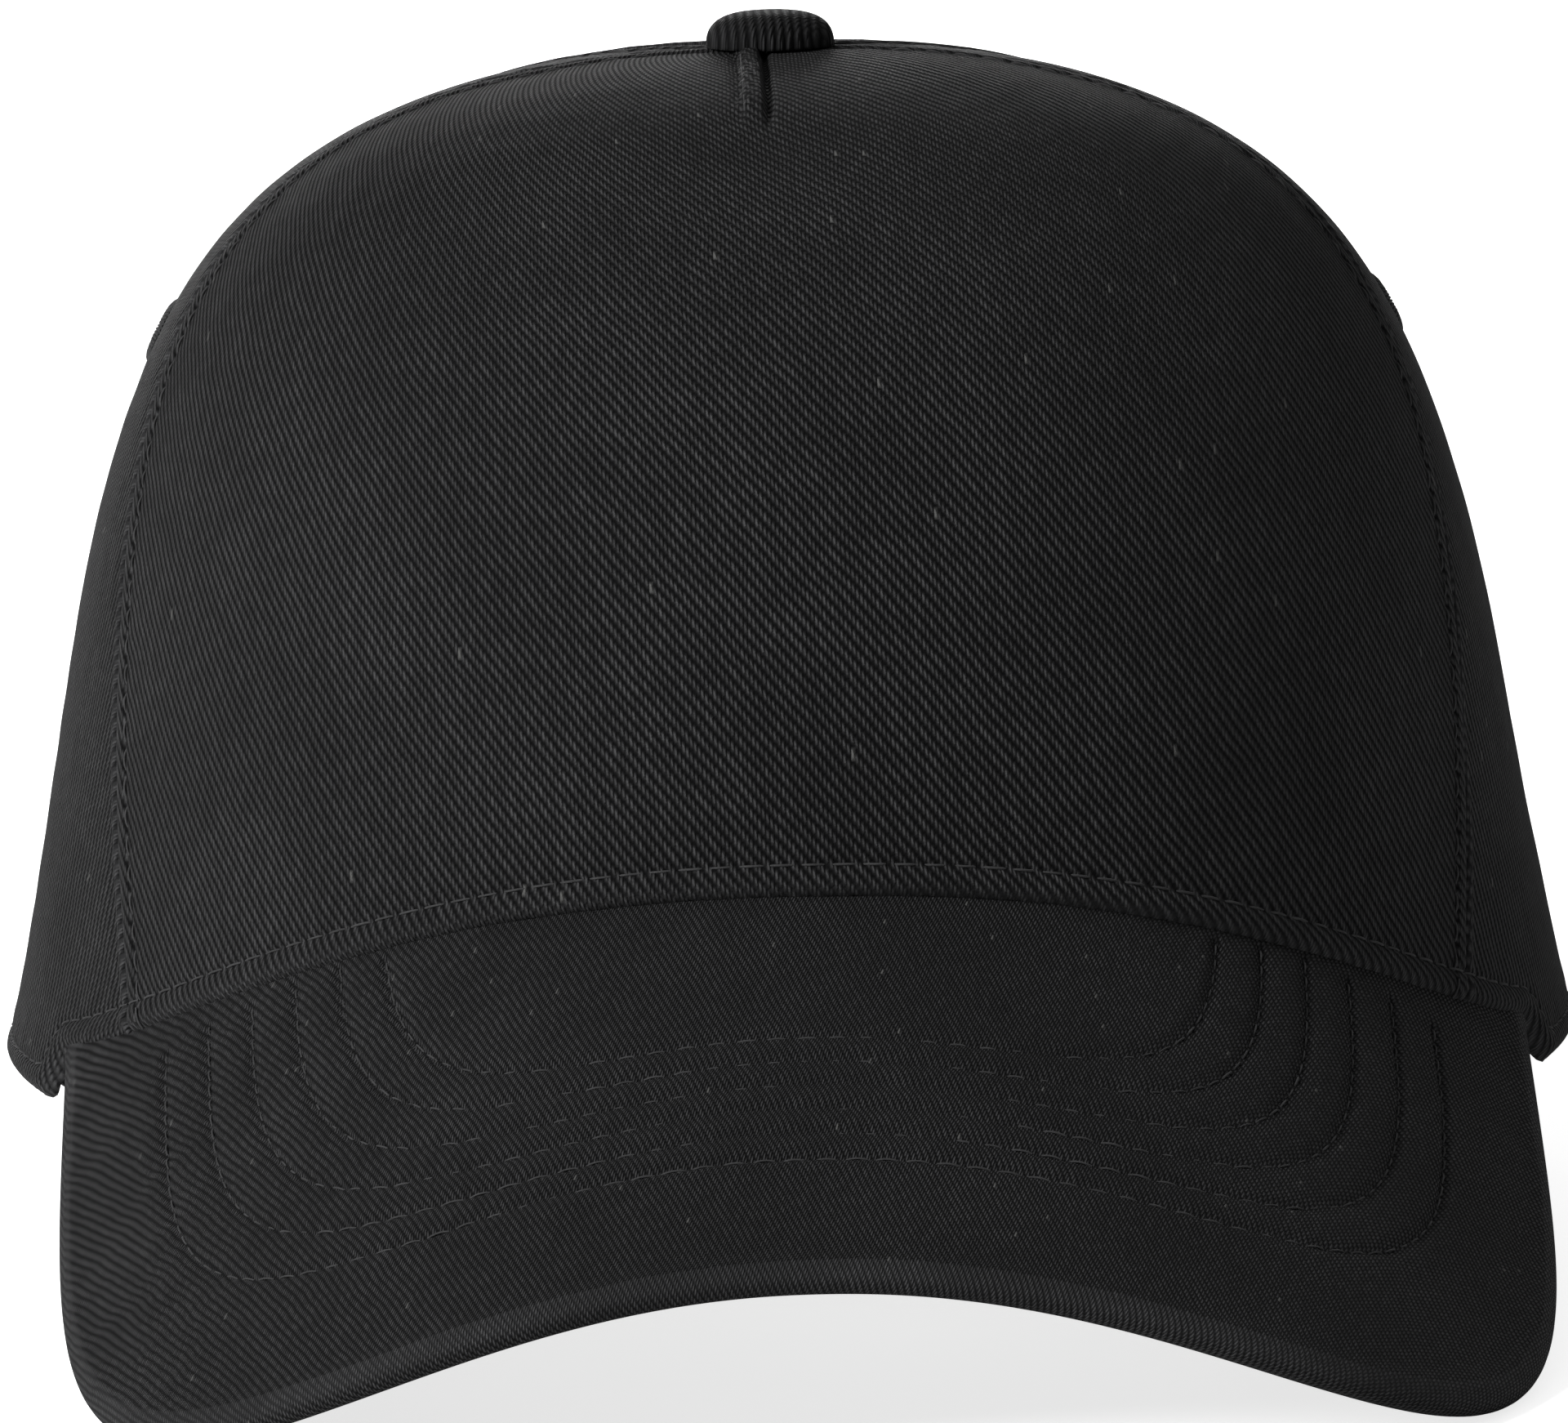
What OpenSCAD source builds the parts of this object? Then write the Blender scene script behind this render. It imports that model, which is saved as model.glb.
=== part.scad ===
// Baseball cap: five sewn crown panels, a curved stitched visor and a strap with a flip clasp.
// +Z is up and the visor points along -Y. The origin is the middle of the rim, where a head enters.
// Lengths are in millimetres. An azimuth of 0 is the wearer's side on +X, and -90 is the forehead.
// A depth is how far a layer lies under the crown's outer face.

/* [Crown] */
// Width of the crown at its rim
crown_w = 189; // [155:1:230]
// Reach of the rim from the crown's axis to the forehead
front_reach = 103; // [84:1:126]
// Height of the crown from its rim to the button's seat
crown_h = 119.7; // [98:0.1:146]
// Thickness of the crown's cloth with its turned seams
cloth_t = 1.2; // [0.8:0.1:1.8]
// Height of the front rim above the rim at the sides
front_rise = 31; // [22:1:38]

/* [Crown shape] */
// Radius of the side wall's lower handle, as a share of the rim's
side_low_r = 0.833; // [0.75:0.001:1]
// Height of the side wall's lower handle, as a share of the crown's
side_low_z = 0.585; // [0.4:0.005:0.75]
// Radius of the side wall's upper handle, as a share of the rim's
side_top_r = 0.929; // [0.6:0.001:1]
// Radius of the forehead's lower handle, as a share of the rim's
front_low_r = 1.006; // [0.9:0.001:1.1]
// Height of the forehead's lower handle, as a share of the crown's
front_low_z = 0.706; // [0.5:0.005:0.8]
// Radius of the forehead's upper handle, as a share of the rim's
front_top_r = 0.702; // [0.5:0.001:0.9]

/* [Panels] */
// Azimuth of the front seam at the rim, ahead of the wearer's side
front_seam_a = 38; // [30:1:46]
// Azimuth of the seam between a side panel and a back panel
back_seam_a = 36; // [28:1:44]
// Radius of the hole left under the button
crown_hole_r = 3.6; // [3.1:0.1:5]
// Width of the tapes that cover the seams inside
tape_w = 10; // [8:0.5:14]
// Thickness of a seam tape
tape_t = 0.8; // [0.5:0.1:1]
// Thickness of the stiff backing behind the front panel
backing_t = 1.0; // [0.6:0.1:1.1]

/* [Sweatband] */
// Height of the sweatband
sweat_h = 30; // [24:1:38]
// Thickness of the sweatband's cloth
sweat_t = 0.8; // [0.5:0.1:1.2]
// Thickness of the foam behind the sweatband at the forehead
foam_t = 0.9; // [0.6:0.1:1.1]

/* [Visor] */
// Reach of the visor ahead of the crown, seen from above
visor_reach = 64; // [50:1:78]
// Azimuth where the visor starts, ahead of the wearer's side
visor_tip_a = 25; // [20:1:32]
// Height of the visor's tips above the rim
visor_tip_h = 5; // [3:0.5:8]
// Slope of the visor along its middle line, in degrees
visor_slope = 25.8; // [20:0.1:32]
// Slope of the visor along its sides, in degrees
visor_side_slope = 19.4; // [14:0.1:25]
// How late the visor bends down towards its sides
visor_bend = 2.1; // [1.8:0.05:2.6]
// Squareness of the visor's outline
visor_square = 4; // [2.6:0.1:5]
// Thickness of the visor's board
board_t = 2.0; // [1.4:0.1:3]
// Thickness of the visor's covers
cover_t = 0.6; // [0.4:0.1:1]

/* [Button] */
// Radius of the covered button
button_r = 7.7; // [6:0.1:9.5]
// Height of the covered button
button_h = 4.2; // [3.4:0.1:5.2]

/* [Eyelets] */
// Outer radius of an embroidered eyelet
eyelet_r = 4.2; // [3.5:0.1:5.5]
// Radius of an eyelet's hole
eyelet_hole_r = 1.8; // [1.4:0.1:2.4]
// How far up the wall the eyelets sit, from 0 at the rim to 1 at the button
eyelet_place = 0.5; // [0.4:0.01:0.62]

/* [Back opening] */
// Half of the azimuth that the back opening spans
open_half_a = 28; // [24:1:32]
// Height of the back opening above the strap's upper edge
open_clear = 23; // [16:1:30]
// Width of the tape that binds the opening's edge
binding_w = 2.0; // [1.5:0.1:3]

/* [Closure] */
// Width of the strap
strap_w = 20; // [16:0.5:24]
// Thickness of the strap
strap_t = 1.0; // [0.8:0.1:1.2]
// Height of the strap's lower edge above the rim
strap_low = 5; // [4.5:0.5:7]
// Azimuth that each hidden end of the strap reaches past the opening
strap_hidden_a = 14; // [11:1:18]
// Azimuth of the clasp, short of the middle of the back
clasp_a = 15; // [11:0.5:16]
// Thickness of the clasp's metal
metal_t = 0.8; // [0.6:0.1:1]
// Radius of the clasp's hinge pin
pin_r = 0.8; // [0.6:0.05:1]

/* [Hidden] */

half_w = crown_w / 2;
// Gap left between layers of the visor and of the button
layer_gap = 0.05;
// Gap left between layers of the crown's wall, which are faceted
wall_gap = 0.25;
// Gap left between the visor and the panels' edge above it
join_gap = 0.4;
// Gap left around what slides or turns
slide_gap = 0.35;
// Height of the back opening
open_h = strap_low + strap_w + open_clear;
// How far the opening's binding stands proud of each face of the cloth
binding_face = 0.35;
// Thickness of the cloth tongue that holds the clasp
loop_t = 0.55;
// Depths of the layers under the crown's outer face
tape_d = cloth_t + wall_gap;
backing_d = cloth_t + wall_gap;
foam_d = backing_d + backing_t + wall_gap;
// The strap lies far enough in for the clasp's tongue to pass behind the opening's binding
strap_d = cloth_t + binding_face + 2 * slide_gap + loop_t;
sweat_d = max(strap_d + strap_t + slide_gap, foam_d + foam_t + wall_gap);
label_d = sweat_d + sweat_t + wall_gap;
// Height of the sweatband's sewn foot, and where the layers behind the sweatband start
foot_h = 2.5;
foot_low = 0.5;
layer_low = foot_low + foot_h + 0.4;
// How far the front rim takes to run down to the level rim behind the visor's tips
rim_ease_a = 16;

// Tip of the visor in plan
tip_r = oval_r(-visor_tip_a, 0);
tip_x = tip_r * cos(visor_tip_a);
tip_y = -tip_r * sin(visor_tip_a);
// Fall of the visor's tips below its middle line at the forehead
visor_fall = front_rise + (tip_y + front_reach) * tan(visor_side_slope) - visor_tip_h;
// How far the visor's outline reaches ahead of its tips
outline_reach = front_reach + visor_reach + tip_y;
visor_t = board_t + 2 * cover_t + 2 * layer_gap;
// Depth under the crown's face where the visor's inner edge ends
visor_in_d = 1.6;

function mix(a, b, s) = a + (b - a) * s;
function bezier(a, b, c, d, t) =
    a * pow(1 - t, 3) + 3 * b * pow(1 - t, 2) * t + 3 * c * (1 - t) * t * t + d * pow(t, 3);
// Radius of the rim's oval, a half circle behind and a half ellipse in front
function oval_r(u, d) =
    let (front = sin(u) < 0 ? front_reach - d : half_w - d)
    1 / sqrt(pow(cos(u) / (half_w - d), 2) + pow(sin(u) / front, 2));
// How much of the forehead's profile the wall has at an azimuth
function front_share(u) = pow(max(0, -sin(u)), 2);
function wall_share(u, t) =
    let (w = front_share(u))
    bezier(1, mix(side_low_r, front_low_r, w), mix(side_top_r, front_top_r, w), 0, t);
function wall_z(u, t, d) =
    (crown_h - d) * bezier(0, mix(side_low_z, front_low_z, front_share(u)), 1, 1, t);
// Point of the crown at an azimuth, a place up its wall from 0 to 1, and a depth
function crown_pt(u, t, d) =
    let (r = oval_r(u, d) * wall_share(u, t))
    [r * cos(u), r * sin(u), wall_z(u, t, d)];
// Place up the wall where it has a height, found by halving
function place_at(u, z, d, low = -0.15, high = 0.9, n = 16) =
    let (mid = (low + high) / 2)
    n == 0 ? mid
        : wall_z(u, mid, d) < z ? place_at(u, z, d, mid, high, n - 1)
        : place_at(u, z, d, low, mid, n - 1);
// Place up the wall where it has a radius near the top
function place_of_r(r, d, low = 0.8, high = 1, n = 16) =
    let (mid = (low + high) / 2)
    n == 0 ? mid
        : oval_r(0, d) * wall_share(0, mid) > r ? place_of_r(r, d, mid, high, n - 1)
        : place_of_r(r, d, low, mid, n - 1);
// Outward direction of the wall
function wall_normal(u, t) =
    let (across = crown_pt(u + 0.5, t, 0) - crown_pt(u - 0.5, t, 0))
    let (up = crown_pt(u, t + 0.005, 0) - crown_pt(u, t - 0.005, 0))
    let (n = cross(across, up))
    n / norm(n);

// Height of the visor's upper face over a point in plan
function visor_z(x, y) =
    let (k = abs(x) / tip_x)
    front_rise - visor_fall * pow(k, visor_bend)
        + (y + front_reach) * mix(tan(visor_slope), tan(visor_side_slope), k * k);
function visor_normal(x, y) =
    let (sx = (visor_z(x + 0.5, y) - visor_z(x - 0.5, y)))
    let (sy = (visor_z(x, y + 0.5) - visor_z(x, y - 0.5)))
    [-sx, -sy, 1] / norm([sx, sy, 1]);
function visor_pt(x, y, d) = [x, y, visor_z(x, y)] - d * visor_normal(x, y);

// Height of the panels' lower edge at an azimuth: over the visor, level, or round the opening
function over_visor(u, d) =
    let (p = crown_pt(u, 0, d))
    let (q = crown_pt(u, place_at(u, visor_z(p.x, p.y), d), d))
    visor_z(q.x, q.y) + join_gap;
function turned(u) = u > 180 ? u - 360 : u <= -180 ? u + 360 : u;
// Azimuth from the nearer tip of the visor back to a place behind it
function from_tip(a) = abs(a) <= 90 ? a + visor_tip_a : visor_tip_a - 180 - (a < 0 ? a : a - 360);
function rim_z(u, d) =
    let (a = turned(u))
    let (tip_u = abs(a) <= 90 ? -visor_tip_a : visor_tip_a - 180)
    let (back = from_tip(a))
    back <= 0 ? over_visor(a, d)
        : abs(a - 90) < open_half_a ? opening_z(abs(a - 90))
        : back < rim_ease_a ? over_visor(tip_u, d) * (1 + cos(180 * back / rim_ease_a)) / 2
        : 0;
// Outline of the back opening, a squared half oval
function opening_z(from_back) = open_h * pow(1 - pow(from_back / open_half_a, 2.2), 1 / 2.2);

// Azimuth of the front seam ahead of the side, at a place up the wall
function seam_a(t) = front_seam_a * pow(max(0, 1 - t), 1.35);
front_line = function (s, t) mix(seam_a(t) - 180, -seam_a(t), s);
side_line = function (s, t) mix(-seam_a(t), back_seam_a, s);
level_line = function (s, t) s;
// Line beside the front seam, s degrees of a circle's arc away for each unit of width
seam_line = function (s, t) s / max(wall_r(t), tape_w / 2) * 180 / PI - seam_a(t);
backing_line = function (s, t)
    mix(seam_a(t) - 180 + backing_edge_a(t), -seam_a(t) - backing_edge_a(t), s);
function backing_edge_a(t) = (tape_w / 2 + 1) / max(wall_r(t), tape_w) * 180 / PI;
function wall_r(t) = oval_r(0, 0) * wall_share(0, t);

// Place up a line of the wall where it starts, a lift above the rim
function settle(line, s, d, lift, t = 0.05, n = 4) =
    let (u = line(s, t))
    n == 0 ? t : settle(line, s, d, lift, place_at(u, rim_z(u, d) + lift, d), n - 1);
function wall_grid(line, cols, rows, d, lift, top) =
    [for (s = cols)
        let (low = settle(line, s, d, lift))
        [for (k = rows) let (t = mix(low, top, k)) crown_pt(line(s, t), t, d)]];
// Band of the wall of a level height above the rim
function band_grid(cols, rows, d, lift, tall) =
    [for (u = cols) let (low = rim_z(u, d) + lift)
        [for (k = rows) crown_pt(u, place_at(u, low + k * tall, d), d)]];
function steps(n) = [for (i = [0:n]) i / n];

// Closed solid between an outer and an inner grid of points, columns to the right and rows up
module patch(outer, inner) {
    cols = len(outer);
    rows = len(outer[0]);
    all_points = concat([for (c = outer) each c], [for (c = inner) each c]);
    far = cols * rows;
    function at(i, j) = i * rows + j;
    function two(a, b, c, d) = [[a, b, c], [a, c, d]];
    faces = concat(
        [for (i = [0:cols - 2], j = [0:rows - 2])
            each two(at(i, j), at(i, j + 1), at(i + 1, j + 1), at(i + 1, j))],
        [for (i = [0:cols - 2], j = [0:rows - 2])
            each two(far + at(i, j), far + at(i + 1, j), far + at(i + 1, j + 1), far + at(i, j + 1))],
        [for (j = [0:rows - 2])
            each two(at(0, j), far + at(0, j), far + at(0, j + 1), at(0, j + 1))],
        [for (j = [0:rows - 2])
            each two(at(cols - 1, j), at(cols - 1, j + 1), far + at(cols - 1, j + 1), far + at(cols - 1, j))],
        [for (i = [0:cols - 2])
            each two(at(i, 0), at(i + 1, 0), far + at(i + 1, 0), far + at(i, 0))],
        [for (i = [0:cols - 2])
            each two(at(i, rows - 1), far + at(i, rows - 1), far + at(i + 1, rows - 1), at(i + 1, rows - 1))]
    );
    polyhedron(points = all_points, faces = faces, convexity = 8);
}

// Closed solid through flat sections that have the same number of corners
module loft(sections) {
    m = len(sections[0]);
    n = len(sections);
    function next(j) = (j + 1) % m;
    faces = concat(
        [[for (j = [0:m - 1]) j]],
        [for (i = [0:n - 2], j = [0:m - 1]) each [
            [i * m + j, (i + 1) * m + j, (i + 1) * m + next(j)],
            [i * m + j, (i + 1) * m + next(j), i * m + next(j)]
        ]],
        [[for (j = [m - 1:-1:0]) (n - 1) * m + j]]
    );
    polyhedron(points = [for (s = sections) each s], faces = faces, convexity = 8);
}

module both_sides(left) {
    mirror([left ? 1 : 0, 0, 0]) children();
}

// Crown panels
module wall_piece(line, cols, rows, d, t, lift, top_r) {
    patch(
        wall_grid(line, cols, rows, d, lift, place_of_r(top_r, d)),
        wall_grid(line, cols, rows, d + t, lift, place_of_r(top_r, d + t))
    );
}

module front_panel() {
    color([0.16, 0.16, 0.17])
        wall_piece(front_line, steps(28), steps(20), 0, cloth_t, 0, crown_hole_r);
}

module side_panel(left) {
    color([0.14, 0.14, 0.15]) both_sides(left) difference() {
        wall_piece(side_line, steps(12), steps(20), 0, cloth_t, 0, crown_hole_r);
        at_eyelet(eyelet_side_a) eyelet_bore();
    }
}

// Columns of a back panel: even ones as far as the opening, then close at its corner
back_cols = concat(
    [for (k = [0:5]) mix(back_seam_a, 89.9 - open_half_a, k / 5)],
    [for (a = [0:7.5:90]) 90 - open_half_a * cos(a)]
);

module back_panel(left) {
    color([0.14, 0.14, 0.15]) both_sides(left) difference() {
        wall_piece(level_line, back_cols, steps(20), 0, cloth_t, 0, crown_hole_r);
        at_eyelet(eyelet_back_a) eyelet_bore();
    }
}

module front_backing() {
    color([0.75, 0.75, 0.72])
        wall_piece(backing_line, steps(24), steps(16), backing_d, backing_t, layer_low, tape_top_r + 2);
}

// Seam tapes, which stop where they would meet near the button
tape_top_r = 1.8 * tape_w;
tape_cols = [-tape_w / 2, -tape_w / 4, 0, tape_w / 4, tape_w / 2];

module front_tape(left) {
    color([0.1, 0.1, 0.1]) both_sides(left)
        wall_piece(seam_line, tape_cols, steps(18), tape_d, tape_t, layer_low, tape_top_r);
}

// Tape over a seam that runs straight up the wall at one azimuth
module upright_tape(u) {
    line = function (s, t) u + s / max(wall_r(t), tape_w / 2) * 180 / PI;
    wall_piece(line, tape_cols, steps(18), tape_d, tape_t, layer_low, tape_top_r);
}

module side_tape(left) {
    color([0.1, 0.1, 0.1]) both_sides(left) upright_tape(back_seam_a);
}

module back_tape() {
    color([0.1, 0.1, 0.1]) upright_tape(90);
}

// Embroidered eyelets
eyelet_t = 0.5;
eyelet_face = 0.12;
eyelet_round = 0.2;
eyelet_bore_gap = 0.03;
eyelet_side_a = 8;
eyelet_back_a = 63;

module at_eyelet(u) {
    n = wall_normal(u, eyelet_place);
    p = crown_pt(u, eyelet_place, 0);
    translate(p) rotate([0, acos(n.z), atan2(n.y, n.x)]) children();
}

module eyelet_bore() {
    translate([0, 0, -3 * cloth_t]) cylinder(r = eyelet_hole_r + eyelet_t, h = 6 * cloth_t, $fn = 32);
}

// Thread ring: a sleeve through the cloth under a flat rim
module eyelet() {
    rotate_extrude($fn = 40) polygon([
        [eyelet_hole_r, -cloth_t - eyelet_round],
        [eyelet_hole_r + eyelet_t - eyelet_bore_gap, -cloth_t - eyelet_round],
        [eyelet_hole_r + eyelet_t - eyelet_bore_gap, eyelet_face],
        [eyelet_r, eyelet_face],
        [eyelet_r - eyelet_round, eyelet_face + eyelet_t],
        [eyelet_hole_r + eyelet_round, eyelet_face + eyelet_t],
        [eyelet_hole_r, eyelet_round]
    ]);
}

module eyelets() {
    color([0.1, 0.1, 0.1]) for (left = [false, true], u = [eyelet_side_a, eyelet_back_a])
        both_sides(left) at_eyelet(u) eyelet();
}

// Button: a covered metal cap on a plate, held by a tack from inside the crown
button_low = crown_h + 0.15;
wrap_t = 0.5;
cap_t = 0.5;
tack_r = 1.25;
tube_r = 2.4;

// Half outline of a low dome of a radius and a height, from its foot to its middle
function dome(r, h, low) = [for (a = [0:9:90]) [r * pow(cos(a), 0.62), low + h * pow(sin(a), 0.8)]];

function reversed(list) = [for (i = [len(list) - 1:-1:0]) list[i]];

// Thin dome between two half outlines
module dome_shell(r, h, t) {
    rotate_extrude($fn = 72)
        polygon(concat(dome(r, h, button_low), reversed(dome(r - t, h - t, button_low))));
}

module button_cover() {
    color([0.16, 0.16, 0.17]) dome_shell(button_r, button_h, wrap_t);
}

module button_shell() {
    color("silver") dome_shell(button_r - wrap_t - layer_gap, button_h - wrap_t - layer_gap, cap_t);
}

module button_plate() {
    plate_r = button_r - wrap_t - cap_t - 0.25;
    color("silver") difference() {
        union() {
            translate([0, 0, button_low]) cylinder(r = plate_r, h = 0.6, $fn = 64);
            translate([0, 0, crown_h - cloth_t]) cylinder(r = tube_r, h = cloth_t + 1.8, $fn = 48);
        }
        translate([0, 0, crown_h - 2 * cloth_t])
            cylinder(r = tack_r + 0.03, h = 2 * cloth_t + button_h, $fn = 48);
    }
}

module button_tack() {
    head_top = crown_h - cloth_t - 0.25;
    color("silver") {
        translate([0, 0, head_top - 0.8]) cylinder(r = 6, h = 0.8, $fn = 64);
        translate([0, 0, head_top - 0.4]) cylinder(r = tack_r, h = cloth_t + 2.2, $fn = 48);
    }
}

// Sweatband: a band with a foot that is sewn into the rim, open at the back
band_cols = [for (k = [0:54]) mix(90 + open_half_a + 2 - 360, 90 - open_half_a - 2, k / 54)];

// Point of a layer at a depth, a height above the rim
function rim_pt(u, d, h) = crown_pt(u, place_at(u, rim_z(u, d) + h, d), d);

module sweatband() {
    in_d = sweat_d + sweat_t;
    top = foot_low + sweat_h;
    foot_top = foot_low + foot_h;
    color([0.1, 0.1, 0.1]) loft([for (u = band_cols) [
        rim_pt(u, in_d, foot_low),
        rim_pt(u, in_d, top),
        rim_pt(u, sweat_d, top),
        rim_pt(u, sweat_d, foot_top),
        rim_pt(u, tape_d, foot_top),
        rim_pt(u, tape_d, foot_low)
    ]]);
}

foam_half_a = 60;
foam_below_top = 3;
module sweatband_foam() {
    cols = [for (s = steps(30)) -90 + mix(-foam_half_a, foam_half_a, s)];
    tall = sweat_h - foot_h - foam_below_top;
    color([0.8, 0.8, 0.78]) patch(
        band_grid(cols, steps(2), foam_d, layer_low, tall),
        band_grid(cols, steps(2), foam_d + foam_t, layer_low, tall)
    );
}

// Blank label sewn to the sweatband's inner face
label_low = 6;
label_tall = 18;
label_t = 0.3;

label_from_a = 134;
label_to_a = 152;
module care_label() {
    cols = [for (s = steps(5)) mix(label_from_a, label_to_a, s)];
    color([0.85, 0.85, 0.83]) patch(
        band_grid(cols, steps(2), label_d, label_low, label_tall),
        band_grid(cols, steps(2), label_d + label_t, label_low, label_tall)
    );
}

// Binding along the edge of the back opening, a flat tape that stands in the opening
function arch_pt(a, d) =
    let (u = 90 + open_half_a * cos(a), z = opening_z(abs(open_half_a * cos(a))))
    crown_pt(u, place_at(u, z, d), d);

module opening_binding() {
    stops = [for (k = [0:32]) mix(1.5, 178.5, k / 32)];
    function inward(a) =
        let (along = arch_pt(a + 1, 0) - arch_pt(a - 1, 0))
        let (u = 90 + open_half_a * cos(a))
        let (n = wall_normal(u, place_at(u, arch_pt(a, 0).z, 0)))
        let (b = cross(n, along))
        b / norm(b);
    function edge(d, w) = [for (a = stops) let (p = arch_pt(a, d)) p + w * inward(a)];
    function rows(d) = let (low = edge(d, 0.1), high = edge(d, binding_w))
        [for (i = [0:len(stops) - 1]) [low[i], high[i]]];
    color([0.1, 0.1, 0.1]) patch(rows(-binding_face), rows(cloth_t + binding_face));
}

// Visor: a stiff board between two covers, and the upper cover is rolled over its edge
visor_cols = [for (k = [0:48]) mix(-visor_tip_a, visor_tip_a - 180, k / 48)];

// Ends in plan of the ray across the visor that starts under the crown at an azimuth
function visor_inner(u) = let (p = rim_pt(u, visor_in_d, 0)) [p.x, p.y];
function visor_ray(u) = let (p = visor_inner(u) - [0, tip_y]) p / norm(p);
function visor_outer(u, inset) =
    let (r = visor_ray(u))
    let (long = pow(pow(abs(r.x) / tip_x, visor_square) + pow(abs(r.y) / outline_reach, visor_square),
        -1 / visor_square))
    [0, tip_y] + max(long - inset, norm(visor_inner(u) - [0, tip_y]) + 0.2) * r;
function visor_row(u, d, shares, inset) =
    let (a = visor_inner(u), b = visor_outer(u, inset))
    [for (k = shares) let (p = mix(a, b, k)) visor_pt(p.x, p.y, d)];
function visor_corner(u, inset, d) = let (p = visor_outer(u, inset)) visor_pt(p.x, p.y, d);
function visor_grid(d, inset) = [for (u = visor_cols) visor_row(u, d, steps(8), inset)];

module visor_top_cover() {
    under = visor_t;
    outer = [for (u = visor_cols) concat(
        visor_row(u, 0, steps(8), 0.9),
        [visor_corner(u, 0.25, 0.3)],
        [visor_corner(u, 0, 1)],
        [visor_corner(u, 0, under - 0.8)],
        [visor_corner(u, 0.4, under)]
    )];
    inner = [for (u = visor_cols) concat(
        visor_row(u, cover_t, steps(8), 0.9 + cover_t / 2),
        [visor_corner(u, 0.35 + cover_t, 0.25 + cover_t)],
        [visor_corner(u, cover_t, 0.6 + cover_t)],
        [visor_corner(u, cover_t, under - 1)],
        [visor_corner(u, 0.4 + cover_t, under)]
    )];
    color([0.15, 0.15, 0.16]) patch(outer, inner);
}

board_inset = 0.8 + cover_t;

module visor_board() {
    color([0.2, 0.2, 0.22]) patch(
        visor_grid(cover_t + layer_gap, board_inset),
        visor_grid(cover_t + layer_gap + board_t, board_inset)
    );
}

module visor_under_cover() {
    low = cover_t + 2 * layer_gap + board_t;
    color([0.12, 0.12, 0.13]) patch(
        visor_grid(low, board_inset),
        visor_grid(low + cover_t, board_inset)
    );
}

// Closure: the strap lies on a cone about Z, so it slides round it through the clasp
strap_high = strap_low + strap_w;
function wall_r_at(u, z, d) = let (p = crown_pt(u, place_at(u, z, d), d)) norm([p.x, p.y]);
strap_low_r = wall_r_at(90, strap_low, strap_d);
strap_high_r = wall_r_at(90, strap_high, strap_d);
strap_lean = atan((strap_low_r - strap_high_r) / strap_w);
strap_mid_r = (strap_low_r + strap_high_r) / 2 - strap_t / 2;
strap_mid_z = (strap_low + strap_high) / 2;
strap_half_a = open_half_a + strap_hidden_a;

// Arc of a flat band on the cone of the strap, an offset outwards from the strap's middle
module cone_band(from_a, to_a, out, t, w) {
    up = [-sin(strap_lean), cos(strap_lean)];
    side = [cos(strap_lean), sin(strap_lean)];
    mid = [strap_mid_r, strap_mid_z];
    rotate([0, 0, from_a]) rotate_extrude(angle = to_a - from_a, $fn = 180) polygon([
        mid + (out - t / 2) * side - w / 2 * up,
        mid + (out + t / 2) * side - w / 2 * up,
        mid + (out + t / 2) * side + w / 2 * up,
        mid + (out - t / 2) * side + w / 2 * up
    ]);
}

module closure_strap() {
    color([0.13, 0.13, 0.14])
        cone_band(90 - strap_half_a, 90 + strap_half_a, 0, strap_t, strap_w);
}

// Clasp, drawn about the strap's middle: +X runs towards its fixed bar, +Y outwards, +Z up
bar_x = 8.8;
bar_y = 2.2;
pin_x = 4.2;
pin_y = 2.6;
cheek_in = strap_w / 2 + 1;
clasp_back_x = 7.5;
bar_gap = 0.1;
base_gap = 0.2;
pin_fit = 0.02;
pin_proud = 0.3;
barrel_wall = 0.7;
barrel_gap = 0.06;
lever_gap = 0.25;
nose_before = 1.3;
nose_w = 1.6;

module at_clasp() {
    rotate([0, 0, -clasp_a]) translate([0, strap_mid_r, strap_mid_z]) rotate([strap_lean, 0, 0])
        children();
}

module along_width(x, y, r, half) {
    translate([x, y, -half]) cylinder(r = r, h = 2 * half, $fn = 40);
}

module clasp_loop() {
    tongue_out = strap_t / 2 + slide_gap + loop_t / 2;
    color([0.13, 0.13, 0.14]) difference() {
        union() {
            cone_band(90 - open_half_a - 8, 90 - clasp_a - atan(bar_x / strap_mid_r),
                tongue_out, loop_t, strap_w - 1);
            at_clasp() along_width(bar_x, bar_y, pin_r + bar_gap + loop_t, strap_w / 2 - 0.5);
        }
        at_clasp() along_width(bar_x, bar_y, pin_r + bar_gap, strap_w);
    }
}

module clasp_cheek() {
    linear_extrude(metal_t) polygon([
        [-clasp_back_x, -strap_t / 2 - slide_gap - base_gap - metal_t],
        [bar_x + 1.5, -strap_t / 2 - slide_gap - base_gap - metal_t],
        [bar_x + 1.5, bar_y + 1.2],
        [bar_x - 1.5, bar_y + 1.2],
        [pin_x + 1.8, pin_y + 1.6],
        [pin_x - 1.4, pin_y + 1.6],
        [pin_x - 3, 1],
        [-clasp_back_x, 0.4]
    ]);
}

module clasp_frame() {
    color("silver") at_clasp() difference() {
        union() {
            translate([0, 0, cheek_in]) clasp_cheek();
            translate([0, 0, -cheek_in - metal_t]) clasp_cheek();
            translate([-clasp_back_x, -strap_t / 2 - slide_gap - base_gap - metal_t, -cheek_in - metal_t])
                cube([2 * clasp_back_x - 1, metal_t, 2 * (cheek_in + metal_t)]);
            along_width(bar_x, bar_y, pin_r, cheek_in + metal_t);
        }
        along_width(pin_x, pin_y, pin_r + pin_fit, cheek_in + 2 * metal_t);
    }
}

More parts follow.
